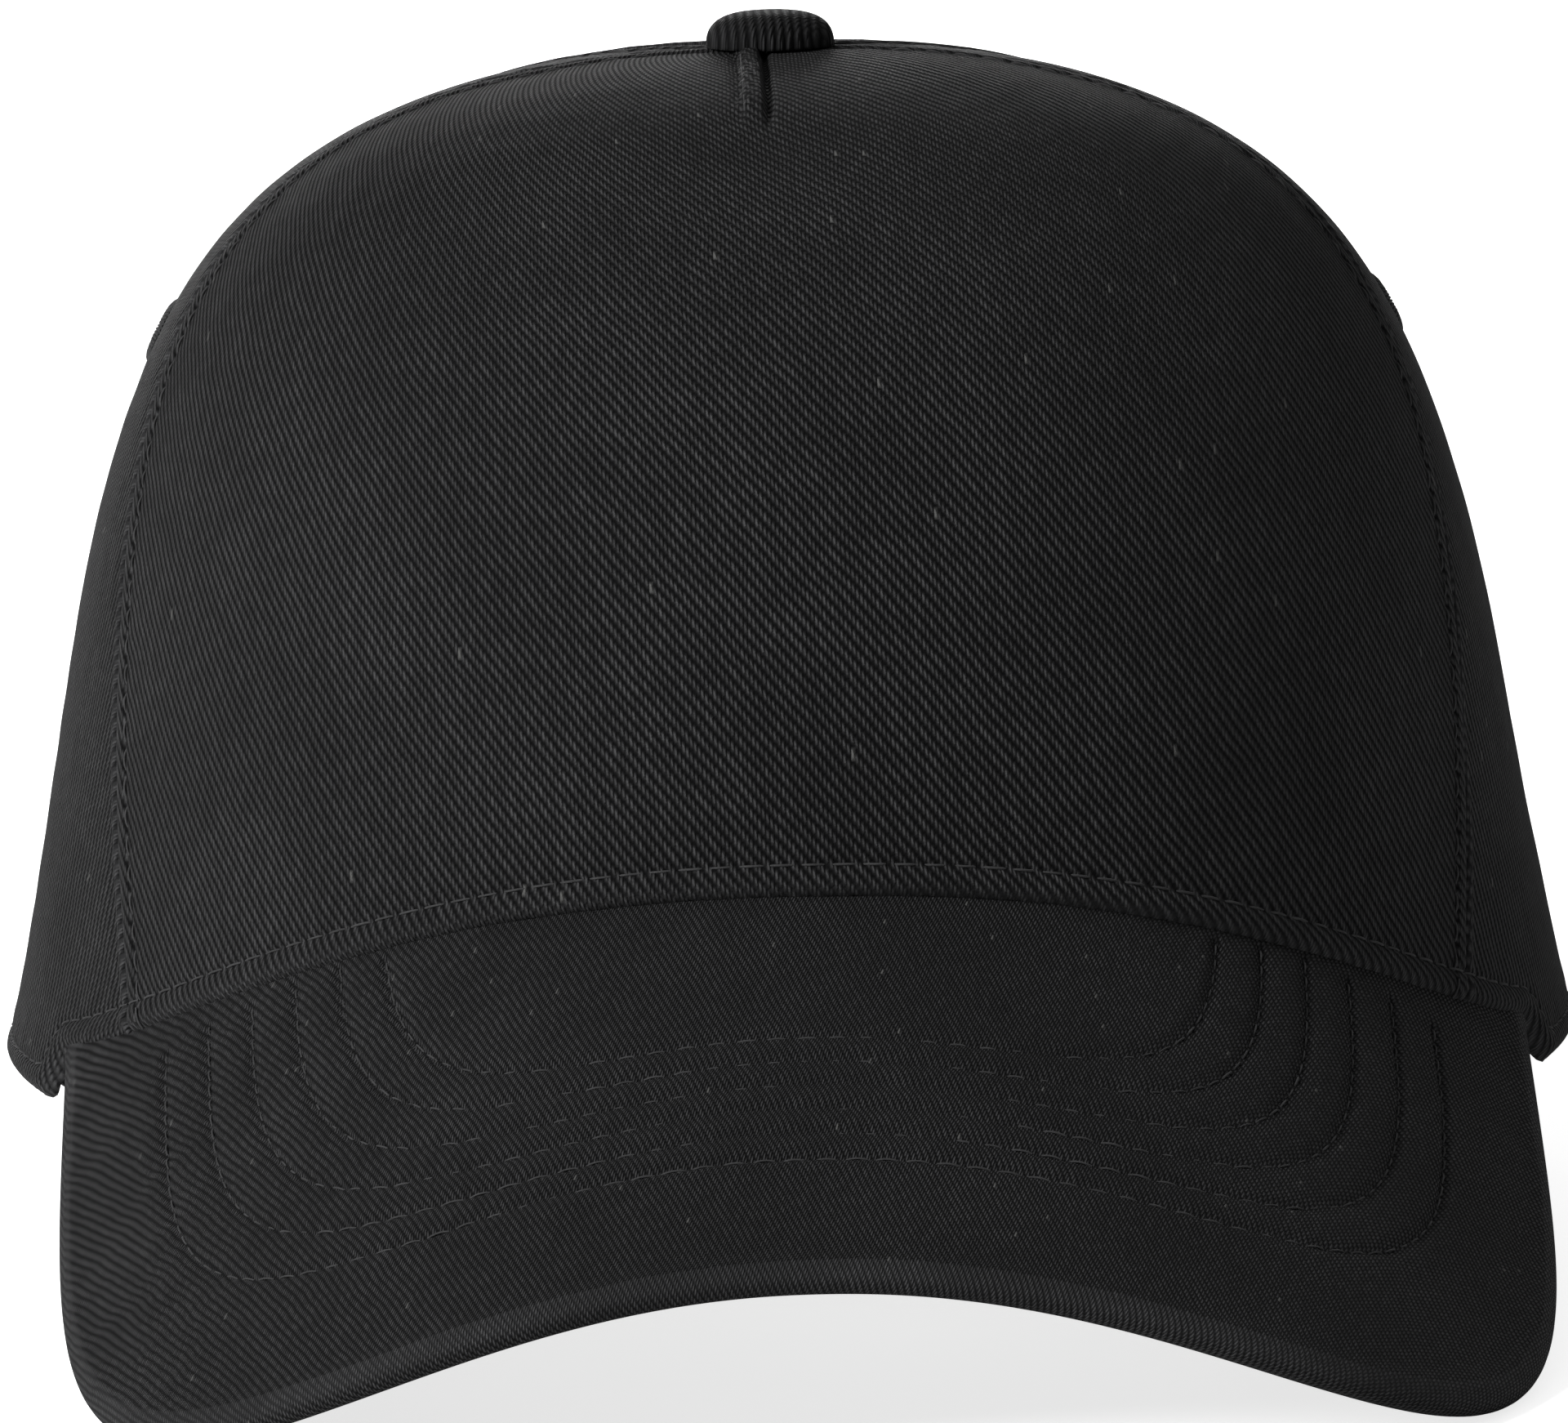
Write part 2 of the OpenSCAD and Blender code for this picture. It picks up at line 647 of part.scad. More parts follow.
module clasp_pin() {
    color("silver") at_clasp() along_width(pin_x, pin_y, pin_r, cheek_in + metal_t + pin_proud);
}

// Lever: a flap with a barrel on the pin and a nose that bites the strap when it is closed
module clasp_lever() {
    half = cheek_in - lever_gap;
    barrel_r = pin_r + barrel_wall;
    nose_low = strap_t / 2 + slide_gap;
    color("silver") at_clasp() difference() {
        union() {
            along_width(pin_x, pin_y, barrel_r, half);
            translate([-clasp_back_x, pin_y - base_gap, -half]) cube([clasp_back_x + pin_x, metal_t, 2 * half]);
            translate([pin_x - nose_before, nose_low, -half]) cube([nose_w, pin_y - nose_low, 2 * half]);
        }
        along_width(pin_x, pin_y, pin_r + barrel_gap, half + 1);
    }
}

front_panel();
side_panel(true);  // side_panel_left
side_panel(false);  // side_panel_right
back_panel(true);  // back_panel_left
back_panel(false);  // back_panel_right
front_backing();
front_tape(true);  // front_tape_left
front_tape(false);  // front_tape_right
side_tape(true);  // side_tape_left
side_tape(false);  // side_tape_right
back_tape();
eyelets();
button_cover();
button_shell();
button_plate();
button_tack();
sweatband();
sweatband_foam();
care_label();
opening_binding();
visor_top_cover();
visor_board();
visor_under_cover();
closure_strap();
clasp_loop();
clasp_frame();
clasp_pin();
clasp_lever();
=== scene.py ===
"""Looks of a five-panel baseball cap: twill panels, a stitched visor, and a strap with a flip clasp."""

import logging
import math
from dataclasses import dataclass, field
from enum import Enum
from typing import Callable, Sequence

import bmesh
import bpy
import numpy as np
from mathutils import Matrix, Vector
from mathutils.kdtree import KDTree


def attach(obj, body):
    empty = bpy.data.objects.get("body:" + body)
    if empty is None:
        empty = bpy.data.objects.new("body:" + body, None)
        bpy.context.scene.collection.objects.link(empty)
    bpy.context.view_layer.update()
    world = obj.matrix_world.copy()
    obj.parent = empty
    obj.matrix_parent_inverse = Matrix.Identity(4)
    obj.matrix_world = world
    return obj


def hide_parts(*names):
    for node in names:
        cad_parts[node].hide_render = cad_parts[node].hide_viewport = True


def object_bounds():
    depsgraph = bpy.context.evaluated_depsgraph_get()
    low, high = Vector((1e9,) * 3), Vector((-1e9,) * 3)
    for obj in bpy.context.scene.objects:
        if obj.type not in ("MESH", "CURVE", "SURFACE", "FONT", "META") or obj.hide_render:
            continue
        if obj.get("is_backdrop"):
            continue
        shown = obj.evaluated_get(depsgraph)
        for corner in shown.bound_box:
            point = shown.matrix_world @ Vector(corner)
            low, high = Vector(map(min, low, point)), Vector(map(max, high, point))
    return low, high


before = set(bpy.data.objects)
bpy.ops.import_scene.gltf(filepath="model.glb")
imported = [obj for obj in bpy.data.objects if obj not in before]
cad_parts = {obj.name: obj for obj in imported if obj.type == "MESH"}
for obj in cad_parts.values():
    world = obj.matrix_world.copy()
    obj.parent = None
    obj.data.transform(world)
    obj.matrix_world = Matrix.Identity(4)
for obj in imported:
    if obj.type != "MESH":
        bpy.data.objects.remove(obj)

LOG = logging.getLogger("cap")
MM = 0.001
HALVINGS = 26
FINE_STEP = 0.3 * MM
Array = np.ndarray
Line = Callable[[Array, Array], Array]


def mix(a: Array, b: Array, s: Array) -> Array:
    """Returns the value a share s of the way from a to b."""
    return a + (b - a) * s


def ease(low: float, high: float, x: Array) -> Array:
    """Returns a smooth step of x, 0 at low and 1 at high."""
    s = np.clip((x - low) / (high - low), 0.0, 1.0)
    return s * s * (3.0 - 2.0 * s)


def bump_at(x: Array, middle: float, width: float) -> Array:
    """Returns a round bump of height 1 about a middle."""
    return np.exp(-(((x - middle) / width) ** 2))


def bezier(a: Array, b: Array, c: Array, d: Array, t: Array) -> Array:
    """Returns a cubic Bezier value at t."""
    k = 1.0 - t
    return a * k**3 + 3 * b * k * k * t + 3 * c * k * t * t + d * t**3


def unit(v: Array) -> Array:
    """Returns vectors of length 1."""
    return v / np.maximum(np.linalg.norm(v, axis=-1, keepdims=True), 1e-12)


def dense_ends(n: int, pull: float = 0.8) -> Array:
    """Returns n shares from 0 to 1 that lie closer at both ends."""
    x = np.linspace(0.0, 1.0, n)
    return x - pull * np.sin(2 * np.pi * x) / (2 * np.pi)


def dense_start(n: int, pull: float = 0.75) -> Array:
    """Returns n shares from 0 to 1 that lie closer at the start."""
    x = np.linspace(0.0, 1.0, n)
    return (1 - pull) * x + pull * x * x


@dataclass(frozen=True)
class CrownForm:
    """Shape of the crown's outer face. Lengths are in metres and azimuths in degrees."""

    half_w: float = 94.5 * MM
    front_reach: float = 103 * MM
    high: float = 119.7 * MM
    cloth_t: float = 1.2 * MM
    side_low_r: float = 0.833
    side_low_z: float = 0.585
    side_top_r: float = 0.929
    front_low_r: float = 1.006
    front_low_z: float = 0.706
    front_top_r: float = 0.702
    front_seam_a: float = 38.0
    seam_power: float = 1.35
    back_seam_a: float = 36.0

    def oval(self, u: Array, d: Array) -> Array:
        """Finds the rim's radius.

        Args:
            u: Azimuths.
            d: Depth under the outer face.

        Returns:
            Radii.
        """
        a = np.radians(u)
        side = self.half_w - d
        front = np.where(np.sin(a) < 0, self.front_reach - d, side)
        return 1.0 / np.sqrt((np.cos(a) / side) ** 2 + (np.sin(a) / front) ** 2)

    def share(self, u: Array, t: Array) -> Array:
        """Finds the wall's radius as a share of the rim's.

        Args:
            u: Azimuths.
            t: Places up the wall.

        Returns:
            Shares.
        """
        w = np.maximum(0.0, -np.sin(np.radians(u))) ** 2
        return bezier(
            1.0, mix(self.side_low_r, self.front_low_r, w), mix(self.side_top_r, self.front_top_r, w), 0.0, t
        )

    def height(self, u: Array, t: Array, d: Array) -> Array:
        """Finds the wall's height.

        Args:
            u: Azimuths.
            t: Places up the wall.
            d: Depth under the outer face.

        Returns:
            Heights.
        """
        w = np.maximum(0.0, -np.sin(np.radians(u))) ** 2
        return (self.high - d) * bezier(0.0, mix(self.side_low_z, self.front_low_z, w), 1.0, 1.0, t)

    def point(self, u: Array, t: Array, d: Array = 0.0) -> Array:
        """Finds points of a layer of the crown.

        Args:
            u: Azimuths.
            t: Places up the wall, from 0 at the rim's level to 1 at the button.
            d: Depth under the outer face.

        Returns:
            Points, with the three coordinates in the last axis.
        """
        u, t = np.broadcast_arrays(np.asarray(u, float), np.asarray(t, float))
        r = self.oval(u, d) * self.share(u, t)
        a = np.radians(u)
        return np.stack([r * np.cos(a), r * np.sin(a), self.height(u, t, d)], axis=-1)

    def place(self, u: Array, z: Array, d: Array = 0.0) -> Array:
        """Finds the place up the wall that has a height, by halving.

        Args:
            u: Azimuths.
            z: Heights.
            d: Depth under the outer face.

        Returns:
            Places up the wall.
        """
        u, z = np.broadcast_arrays(np.asarray(u, float), np.asarray(z, float))
        lowest, highest = -0.15, 0.95
        low, high = np.full(u.shape, lowest), np.full(u.shape, highest)
        for _ in range(HALVINGS):
            mid = (low + high) / 2
            below = self.height(u, mid, d) < z
            low, high = np.where(below, mid, low), np.where(below, high, mid)
        return low

    def place_of_radius(self, r: float, u: float = 0.0, low: float = 0.8) -> float:
        """Finds the place up the wall that has a radius near the button.

        Args:
            r: The radius.
            u: Azimuth.
            low: Lowest place looked at.

        Returns:
            The place.
        """
        high = 1.0
        for _ in range(HALVINGS):
            mid = (low + high) / 2
            wide = float(self.oval(u, 0.0) * self.share(u, mid)) > r
            low, high = (mid, high) if wide else (low, mid)
        return low

    def outward(self, u: Array, t: Array) -> Array:
        """Finds the wall's outward directions.

        Args:
            u: Azimuths.
            t: Places up the wall.

        Returns:
            Directions of length 1.
        """
        turn, rise = 0.4, 0.004
        across = self.point(u + turn, t) - self.point(u - turn, t)
        up = self.point(u, t + rise) - self.point(u, t - rise)
        return unit(np.cross(across, up))

    def seam(self, t: Array) -> Array:
        """Returns how far ahead of the side the front seam runs, in degrees."""
        return self.front_seam_a * np.maximum(0.0, 1.0 - t) ** self.seam_power

    def wall_r(self, t: Array) -> Array:
        """Returns the side wall's radius at a place up it."""
        return self.oval(0.0, 0.0) * self.share(0.0, t)


@dataclass(frozen=True)
class VisorForm:
    """Shape of the visor's upper face over a point in plan."""

    crown: CrownForm
    rise: float = 31 * MM
    reach: float = 64 * MM
    tip_a: float = 25.0
    tip_h: float = 5 * MM
    slope: float = 25.8
    side_slope: float = 19.4
    bend: float = 2.1
    square: float = 4.0
    board_t: float = 2.0 * MM
    cover_t: float = 0.6 * MM
    layer_gap: float = 0.05 * MM
    inner_d: float = 1.6 * MM

    @property
    def tip_x(self) -> float:
        """Half of the visor's width."""
        return float(self.crown.oval(-self.tip_a, 0.0)) * math.cos(math.radians(self.tip_a))

    @property
    def tip_y(self) -> float:
        """Place of the visor's tips along Y."""
        return -float(self.crown.oval(-self.tip_a, 0.0)) * math.sin(math.radians(self.tip_a))

    @property
    def thick(self) -> float:
        """Thickness of the visor with its covers."""
        return self.board_t + 2 * self.cover_t + 2 * self.layer_gap

    @property
    def long(self) -> float:
        """How far the outline reaches ahead of the tips."""
        return self.crown.front_reach + self.reach + self.tip_y

    def height(self, x: Array, y: Array) -> Array:
        """Finds the height of the upper face.

        Args:
            x: Plan of the points along X.
            y: Plan of the points along Y.

        Returns:
            Heights.
        """
        tan_mid, tan_side = math.tan(math.radians(self.slope)), math.tan(math.radians(self.side_slope))
        fall = self.rise + (self.tip_y + self.crown.front_reach) * tan_side - self.tip_h
        k = np.abs(x) / self.tip_x
        return self.rise - fall * k**self.bend + (y + self.crown.front_reach) * mix(tan_mid, tan_side, k * k)

    def upward(self, x: Array, y: Array) -> Array:
        """Finds the upper face's outward directions.

        Args:
            x: Plan of the points along X.
            y: Plan of the points along Y.

        Returns:
            Directions of length 1.
        """
        e = 0.5 * MM
        sx = (self.height(x + e, y) - self.height(x - e, y)) / (2 * e)
        sy = (self.height(x, y + e) - self.height(x, y - e)) / (2 * e)
        return unit(np.stack([-sx, -sy, np.ones_like(sx)], axis=-1))

    def point(self, x: Array, y: Array, d: Array = 0.0) -> Array:
        """Returns points at a depth under the upper face."""
        p = np.stack([x, y, self.height(x, y)], axis=-1)
        return p - np.asarray(d)[..., None] * self.upward(x, y)


@dataclass(frozen=True)
class RimForm:
    """Height of the panels' lower edge round the cap."""

    crown: CrownForm
    visor: VisorForm
    join_gap: float = 0.4 * MM
    ease_a: float = 6.0
    open_half_a: float = 28.0
    open_h: float = 48 * MM
    open_power: float = 2.2
    settle_rounds: int = 8

    def over_visor(self, u: Array, d: Array) -> Array:
        """Finds the height on the crown's wall just over the visor.

        Args:
            u: Azimuths.
            d: Depth under the crown's face.

        Returns:
            Heights.
        """
        p = self.crown.point(u, np.zeros_like(u), d)
        t = self.crown.place(u, self.visor.height(p[..., 0], p[..., 1]), d)
        q = self.crown.point(u, t, d)
        return self.visor.height(q[..., 0], q[..., 1]) + self.join_gap

    def opening(self, from_back: Array) -> Array:
        """Returns the back opening's height, a squared half oval."""
        x = np.clip(np.abs(from_back) / self.open_half_a, 0.0, 1.0)
        return self.open_h * (1 - x**self.open_power) ** (1 / self.open_power)

    def height(self, u: Array, d: Array = 0.0) -> Array:
        """Finds the height of the panels' lower edge.

        Args:
            u: Azimuths.
            d: Depth under the crown's face.

        Returns:
            Heights over the visor, along the level rim, or round the back opening.
        """
        a = (np.asarray(u, float) + 180.0) % 360.0 - 180.0
        tip = self.visor.tip_a
        back = np.where(np.abs(a) <= 90, a + tip, np.where(a < 0, tip - 180 - a, tip + 180 - a))
        over = self.over_visor(np.where(back <= 0, a, -90.0), d)
        tip_z = float(self.over_visor(np.array([-tip]), d)[0])
        eased = tip_z * (1 + np.cos(np.radians(180 * np.clip(back / self.ease_a, 0, 1)))) / 2
        level = np.where(np.abs(a - 90) < self.open_half_a, self.opening(a - 90), eased)
        return np.where(back <= 0, over, level)

    def settle(self, line: Line, s: Array, d: float, lift: float) -> Array:
        """Finds where the columns of a piece start.

        Args:
            line: Azimuth of a column at a place up the wall.
            s: Shares across the piece, one to a column.
            d: Depth of the piece under the crown's face.
            lift: How far over the rim it starts.

        Returns:
            A place up the wall for each column.
        """
        t = np.full(np.shape(s), 0.05)
        for _ in range(self.settle_rounds):
            u = line(s, t)
            t = self.crown.place(u, self.height(u, d) + lift, d)
        return t

    def point(self, u: Array, d: float, h: Array) -> Array:
        """Returns points of a layer at a height above the rim."""
        t = self.crown.place(u, self.height(u, d) + h, d)
        return self.crown.point(u, t, d)


CROWN = CrownForm()
VISOR = VisorForm(CROWN)
RIM = RimForm(CROWN, VISOR)


# Mesh tools


def grid_faces(cols: int, rows: int, start: int = 0, flip: bool = False, closed: bool = False) -> Array:
    """Lists the four-sided faces of a grid of points.

    Args:
        cols: Number of columns.
        rows: Number of points in a column.
        start: Number of the grid's first point.
        flip: Whether the faces look the other way.
        closed: Whether the last column joins the first.

    Returns:
        Numbers of each face's corners.
    """
    n = cols if closed else cols - 1
    i, j = np.meshgrid(np.arange(n), np.arange(rows - 1), indexing="ij")
    k = (i + 1) % cols
    quads = np.stack([i * rows + j, k * rows + j, k * rows + j + 1, i * rows + j + 1], axis=-1).reshape(-1, 4)
    return (quads[:, ::-1] if flip else quads) + start


def make_mesh(
    name: str, points: Array, faces: Array, uv: Array | None = None, edge: Array | None = None
) -> bpy.types.Object:
    """Makes a smooth mesh object from arrays.

    Args:
        name: Name of the piece.
        points: Points in metres.
        faces: Numbers of the corners, four to a face.
        uv: Flat cloth place of each point, in millimetres.
        edge: How worn each point is, from 0 to 1.

    Returns:
        The new object, linked to the scene.
    """
    points = np.asarray(points, float).reshape(-1, 3)
    used = np.zeros(len(points), bool)
    used[faces.ravel()] = True
    faces = (np.cumsum(used) - 1)[faces]
    mesh = bpy.data.meshes.new(name)
    mesh.vertices.add(int(used.sum()))
    mesh.vertices.foreach_set("co", points[used].astype(np.float32).ravel())
    mesh.loops.add(faces.size)
    mesh.loops.foreach_set("vertex_index", faces.astype(np.int32).ravel())
    mesh.polygons.add(len(faces))
    mesh.polygons.foreach_set("loop_start", np.arange(0, faces.size, 4, dtype=np.int32))
    mesh.polygons.foreach_set("loop_total", np.full(len(faces), 4, np.int32))
    mesh.update(calc_edges=True)
    mesh.polygons.foreach_set("use_smooth", np.ones(len(faces), bool))
    if uv is not None:
        layer = mesh.uv_layers.new(name="cloth")
        layer.data.foreach_set("uv", uv.reshape(-1, 2)[used][faces.ravel()].astype(np.float32).ravel())
    if edge is not None:
        mark = mesh.attributes.new("edge", "FLOAT", "POINT")
        mark.data.foreach_set("value", np.asarray(edge, np.float32).ravel()[used])
    mesh.update()
    made = bpy.data.objects.new(name, mesh)
    bpy.context.scene.collection.objects.link(made)
    return made


def slab(
    name: str,
    outer: Array,
    inner: Array,
    uv: Array | None = None,
    edge: Array | None = None,
    holes: Sequence[Array] = (),
    hole_r: float = 0.0,
) -> bpy.types.Object:
    """Makes a closed sheet between two grids of points, with an edge all round.

    Args:
        name: Name of the piece.
        outer: Grid of the outer face. Seen from outside, its columns run to the right and its rows run up.
        inner: Grid of the inner face.
        uv: Flat cloth places of the grid, in millimetres, or None to measure them.
        edge: How worn each point of the outer face is.
        holes: Middles of round holes.
        hole_r: Radius of the holes.

    Returns:
        The mesh object.
    """
    n, m = outer.shape[:2]
    count = n * m
    if uv is None:
        uv = np.stack([lengths(outer, 0), lengths(outer, 1)], axis=-1) / MM
    index = np.arange(count).reshape(n, m)
    loop = np.concatenate([index[:, 0], index[-1, 1:], index[-2::-1, -1], index[0, -2:0:-1]])
    after = np.roll(loop, -1)
    rim = np.stack([after, loop, loop + count, after + count], axis=-1)
    points = np.concatenate([outer.reshape(-1, 3), inner.reshape(-1, 3)])
    faces = np.concatenate([grid_faces(n, m), grid_faces(n, m, count, flip=True), rim])
    for middle in holes:
        faces = faces[np.linalg.norm(points[faces].mean(axis=1) - middle, axis=-1) > hole_r]
    worn = np.zeros((n, m)) if edge is None else edge
    return make_mesh(
        name,
        points,
        faces,
        np.concatenate([uv.reshape(-1, 2)] * 2),
        np.concatenate([worn.ravel(), np.zeros(count)]),
    )


def turned_shell(name: str, profile: Array, turns: int, closed: bool) -> bpy.types.Object:
    """Turns a profile round Z.

    Args:
        name: Name of the piece.
        profile: Points as radius and height, in the order that keeps the outside on their right.
        turns: Number of steps round.
        closed: Whether the profile's last point joins its first.

    Returns:
        The mesh object, with its plan as the flat cloth place.
    """
    a = np.linspace(0, 2 * np.pi, turns, endpoint=False)
    rows = np.concatenate([profile, profile[:1]]) if closed else profile
    r, z = rows[None, :, 0], rows[None, :, 1]
    grid = np.stack(
        [r * np.cos(a)[:, None], r * np.sin(a)[:, None], np.broadcast_to(z, (turns, len(rows)))], axis=-1
    )
    return make_mesh(name, grid, grid_faces(turns, len(rows), closed=True), grid[..., :2] / MM)


def join_pieces(name: str, parts: Sequence[bpy.types.Object]) -> bpy.types.Object:
    """Joins meshes into the first one.

    Args:
        name: New name of the joined piece.
        parts: Mesh objects.

    Returns:
        The first object, which holds all the meshes.
    """
    with bpy.context.temp_override(
        active_object=parts[0],
        object=parts[0],
        selected_editable_objects=list(parts),
        selected_objects=list(parts),
    ):
        bpy.ops.object.join()
    parts[0].name = name
    parts[0].data.name = name
    return parts[0]


def merge_doubles(piece: bpy.types.Object, distance: float = 1e-6) -> bpy.types.Object:
    """Welds points that lie in one place.

    Args:
        piece: The mesh object.
        distance: How far apart welded points may lie.

    Returns:
        The same object.
    """
    shape = bmesh.new()
    shape.from_mesh(piece.data)
    bmesh.ops.remove_doubles(shape, verts=shape.verts, dist=distance)
    shape.to_mesh(piece.data)
    shape.free()
    return piece


def lengths(points: Array, axis: int) -> Array:
    """Measures the distance run along one axis of a grid of points.

    Args:
        points: The grid.
        axis: 0 to run from column to column, and 1 to run up the rows.

    Returns:
        Distances, which start at 0.
    """
    steps = np.linalg.norm(np.diff(points, axis=axis), axis=-1)
    zero = np.zeros_like(np.take(steps, [0], axis=axis))
    return np.concatenate([zero, np.cumsum(steps, axis=axis)], axis=axis)


def near_line(points: Array, line: Array) -> tuple[Array, Array]:
    """Measures points against a line.

    Args:
        points: Points of a grid.
        line: Points along the line.

    Returns:
        The distance to the line, and the distance run along it to the nearest place.
    """
    run = lengths(line[:, None, :], 0)[:, 0]
    stops = np.arange(0.0, run[-1], FINE_STEP)
    fine = np.stack([np.interp(stops, run, line[:, k]) for k in range(3)], axis=-1)
    tree = KDTree(len(fine))
    for i, p in enumerate(fine):
        tree.insert(p, i)
    tree.balance()
    found = [tree.find(p)[1:] for p in points.reshape(-1, 3)]
    index, dist = np.array([f[0] for f in found]), np.array([f[1] for f in found])
    return dist.reshape(points.shape[:-1]), stops[index].reshape(points.shape[:-1])


def resample(line: Array, pitch: float, start: float = 0.5) -> tuple[Array, Array]:
    """Spaces points evenly along a line.

    Args:
        line: Points along the line.
        pitch: Distance between the new points.
        start: Where the first one lies, in pitches from the line's start.

    Returns:
        The points and the line's directions there.
    """
    run = lengths(line[:, None, :], 0)[:, 0]
    stops = np.arange(pitch * start, run[-1], pitch)

    def at(s: Array) -> Array:
        """Returns the line's points at distances run."""
        return np.stack([np.interp(s, run, line[:, k]) for k in range(3)], axis=-1)

    return at(stops), unit(at(stops + 0.3 * pitch) - at(stops - 0.3 * pitch))


def waves(u: Array, v: Array, seed: int, size: float) -> Array:
    """Makes a slow uneven swell over a cloth.

    Args:
        u: Places across the cloth.
        v: Places up the cloth.
        seed: Seed of the waves.
        size: Rough length of a wave.

    Returns:
        Heights, from about -1 to 1.
    """
    rng = np.random.default_rng(seed)
    count, calm = 7, 4.0
    total = np.zeros_like(u)
    for _ in range(count):
        angle, phase = rng.uniform(0, 2 * np.pi, 2)
        turn = 2 * np.pi / (size * rng.uniform(0.7, 1.6))
        total = total + np.sin((u * np.cos(angle) + v * np.sin(angle)) * turn + phase)
    return total / calm


# Finishes


class Nodes:
    """Short way to write a node tree."""

    def __init__(self, tree: bpy.types.NodeTree) -> None:
        """Keeps the tree that is written."""
        self.tree = tree

    def add(self, kind: str, **values: object) -> bpy.types.Node:
        """Adds a node and sets its own settings.

        Args:
            kind: Type of the node.
            values: Its settings.

        Returns:
            The node.
        """
        made = self.tree.nodes.new(kind)
        for key, value in values.items():
            setattr(made, key, value)
        return made

    def feed(self, socket: bpy.types.NodeSocket, value: object) -> None:
        """Links a socket to an output, or sets its number.

        Args:
            socket: The input.
            value: An output, or what the input is set to.
        """
        if isinstance(value, bpy.types.NodeSocket):
            self.tree.links.new(value, socket)
        else:
            socket.default_value = value

    def math(self, operation: str, *values: object) -> bpy.types.NodeSocket:
        """Adds a sum on numbers or outputs.

        Args:
            operation: Which sum.
            values: What it works on.

        Returns:
            The output.
        """
        made = self.add("ShaderNodeMath", operation=operation)
        for socket, value in zip(made.inputs, values):
            self.feed(socket, value)
        return made.outputs[0]

    def ramp(self, value: object, low: float, high: float, start: float, end: float) -> bpy.types.NodeSocket:
        """Carries a value smoothly from one range to another.

        Args:
            value: The value.
            low: Start of its range.
            high: End of its range.
            start: Result at the start.
            end: Result at the end.

        Returns:
            The output.
        """
        made = self.add("ShaderNodeMapRange", interpolation_type="SMOOTHSTEP")
        for socket, item in zip(made.inputs, (value, low, high, start, end)):
            self.feed(socket, item)
        return made.outputs[0]

    def blend(self, share: object, a: object, b: object) -> bpy.types.NodeSocket:
        """Mixes two colours.

        Args:
            share: Share of the second.
            a: The first colour.
            b: The second colour.

        Returns:
            The output.
        """
        made = self.add("ShaderNodeMix", data_type="RGBA")
        self.feed(made.inputs["Factor"], share)
        self.feed(made.inputs[6], a)
        self.feed(made.inputs[7], b)
        return made.outputs[2]

    def noise(self, vector: object, scale: float, detail: float = 2.0) -> bpy.types.NodeSocket:
        """Adds a noise about a half.

        Args:
            vector: Where the noise is read.
            scale: How fine it is.
            detail: How many finer layers it has.

        Returns:
            The output.
        """
        made = self.add("ShaderNodeTexNoise")
        self.feed(made.inputs["Vector"], vector)
        made.inputs["Scale"].default_value = scale
        made.inputs["Detail"].default_value = detail
        return made.outputs[0]


def new_group(
    name: str, inputs: Sequence[tuple[str, str, object]], outputs: Sequence[str]
) -> tuple[bpy.types.NodeTree, Nodes, bpy.types.Node, bpy.types.Node]:
    """Starts a shader group.

    Args:
        name: Name of the group.
        inputs: Name, socket type and starting value of each input.
        outputs: Name of each output, all of them numbers.

    Returns:
        The tree, its writer, its input node and its output node.
    """
    tree = bpy.data.node_groups.new(name, "ShaderNodeTree")
    for label, kind, value in inputs:
        socket = tree.interface.new_socket(name=label, in_out="INPUT", socket_type=kind)
        if value is not None:
            socket.default_value = value
    for label in outputs:
        tree.interface.new_socket(name=label, in_out="OUTPUT", socket_type="NodeSocketFloat")
    n = Nodes(tree)
    return tree, n, n.add("NodeGroupInput"), n.add("NodeGroupOutput")


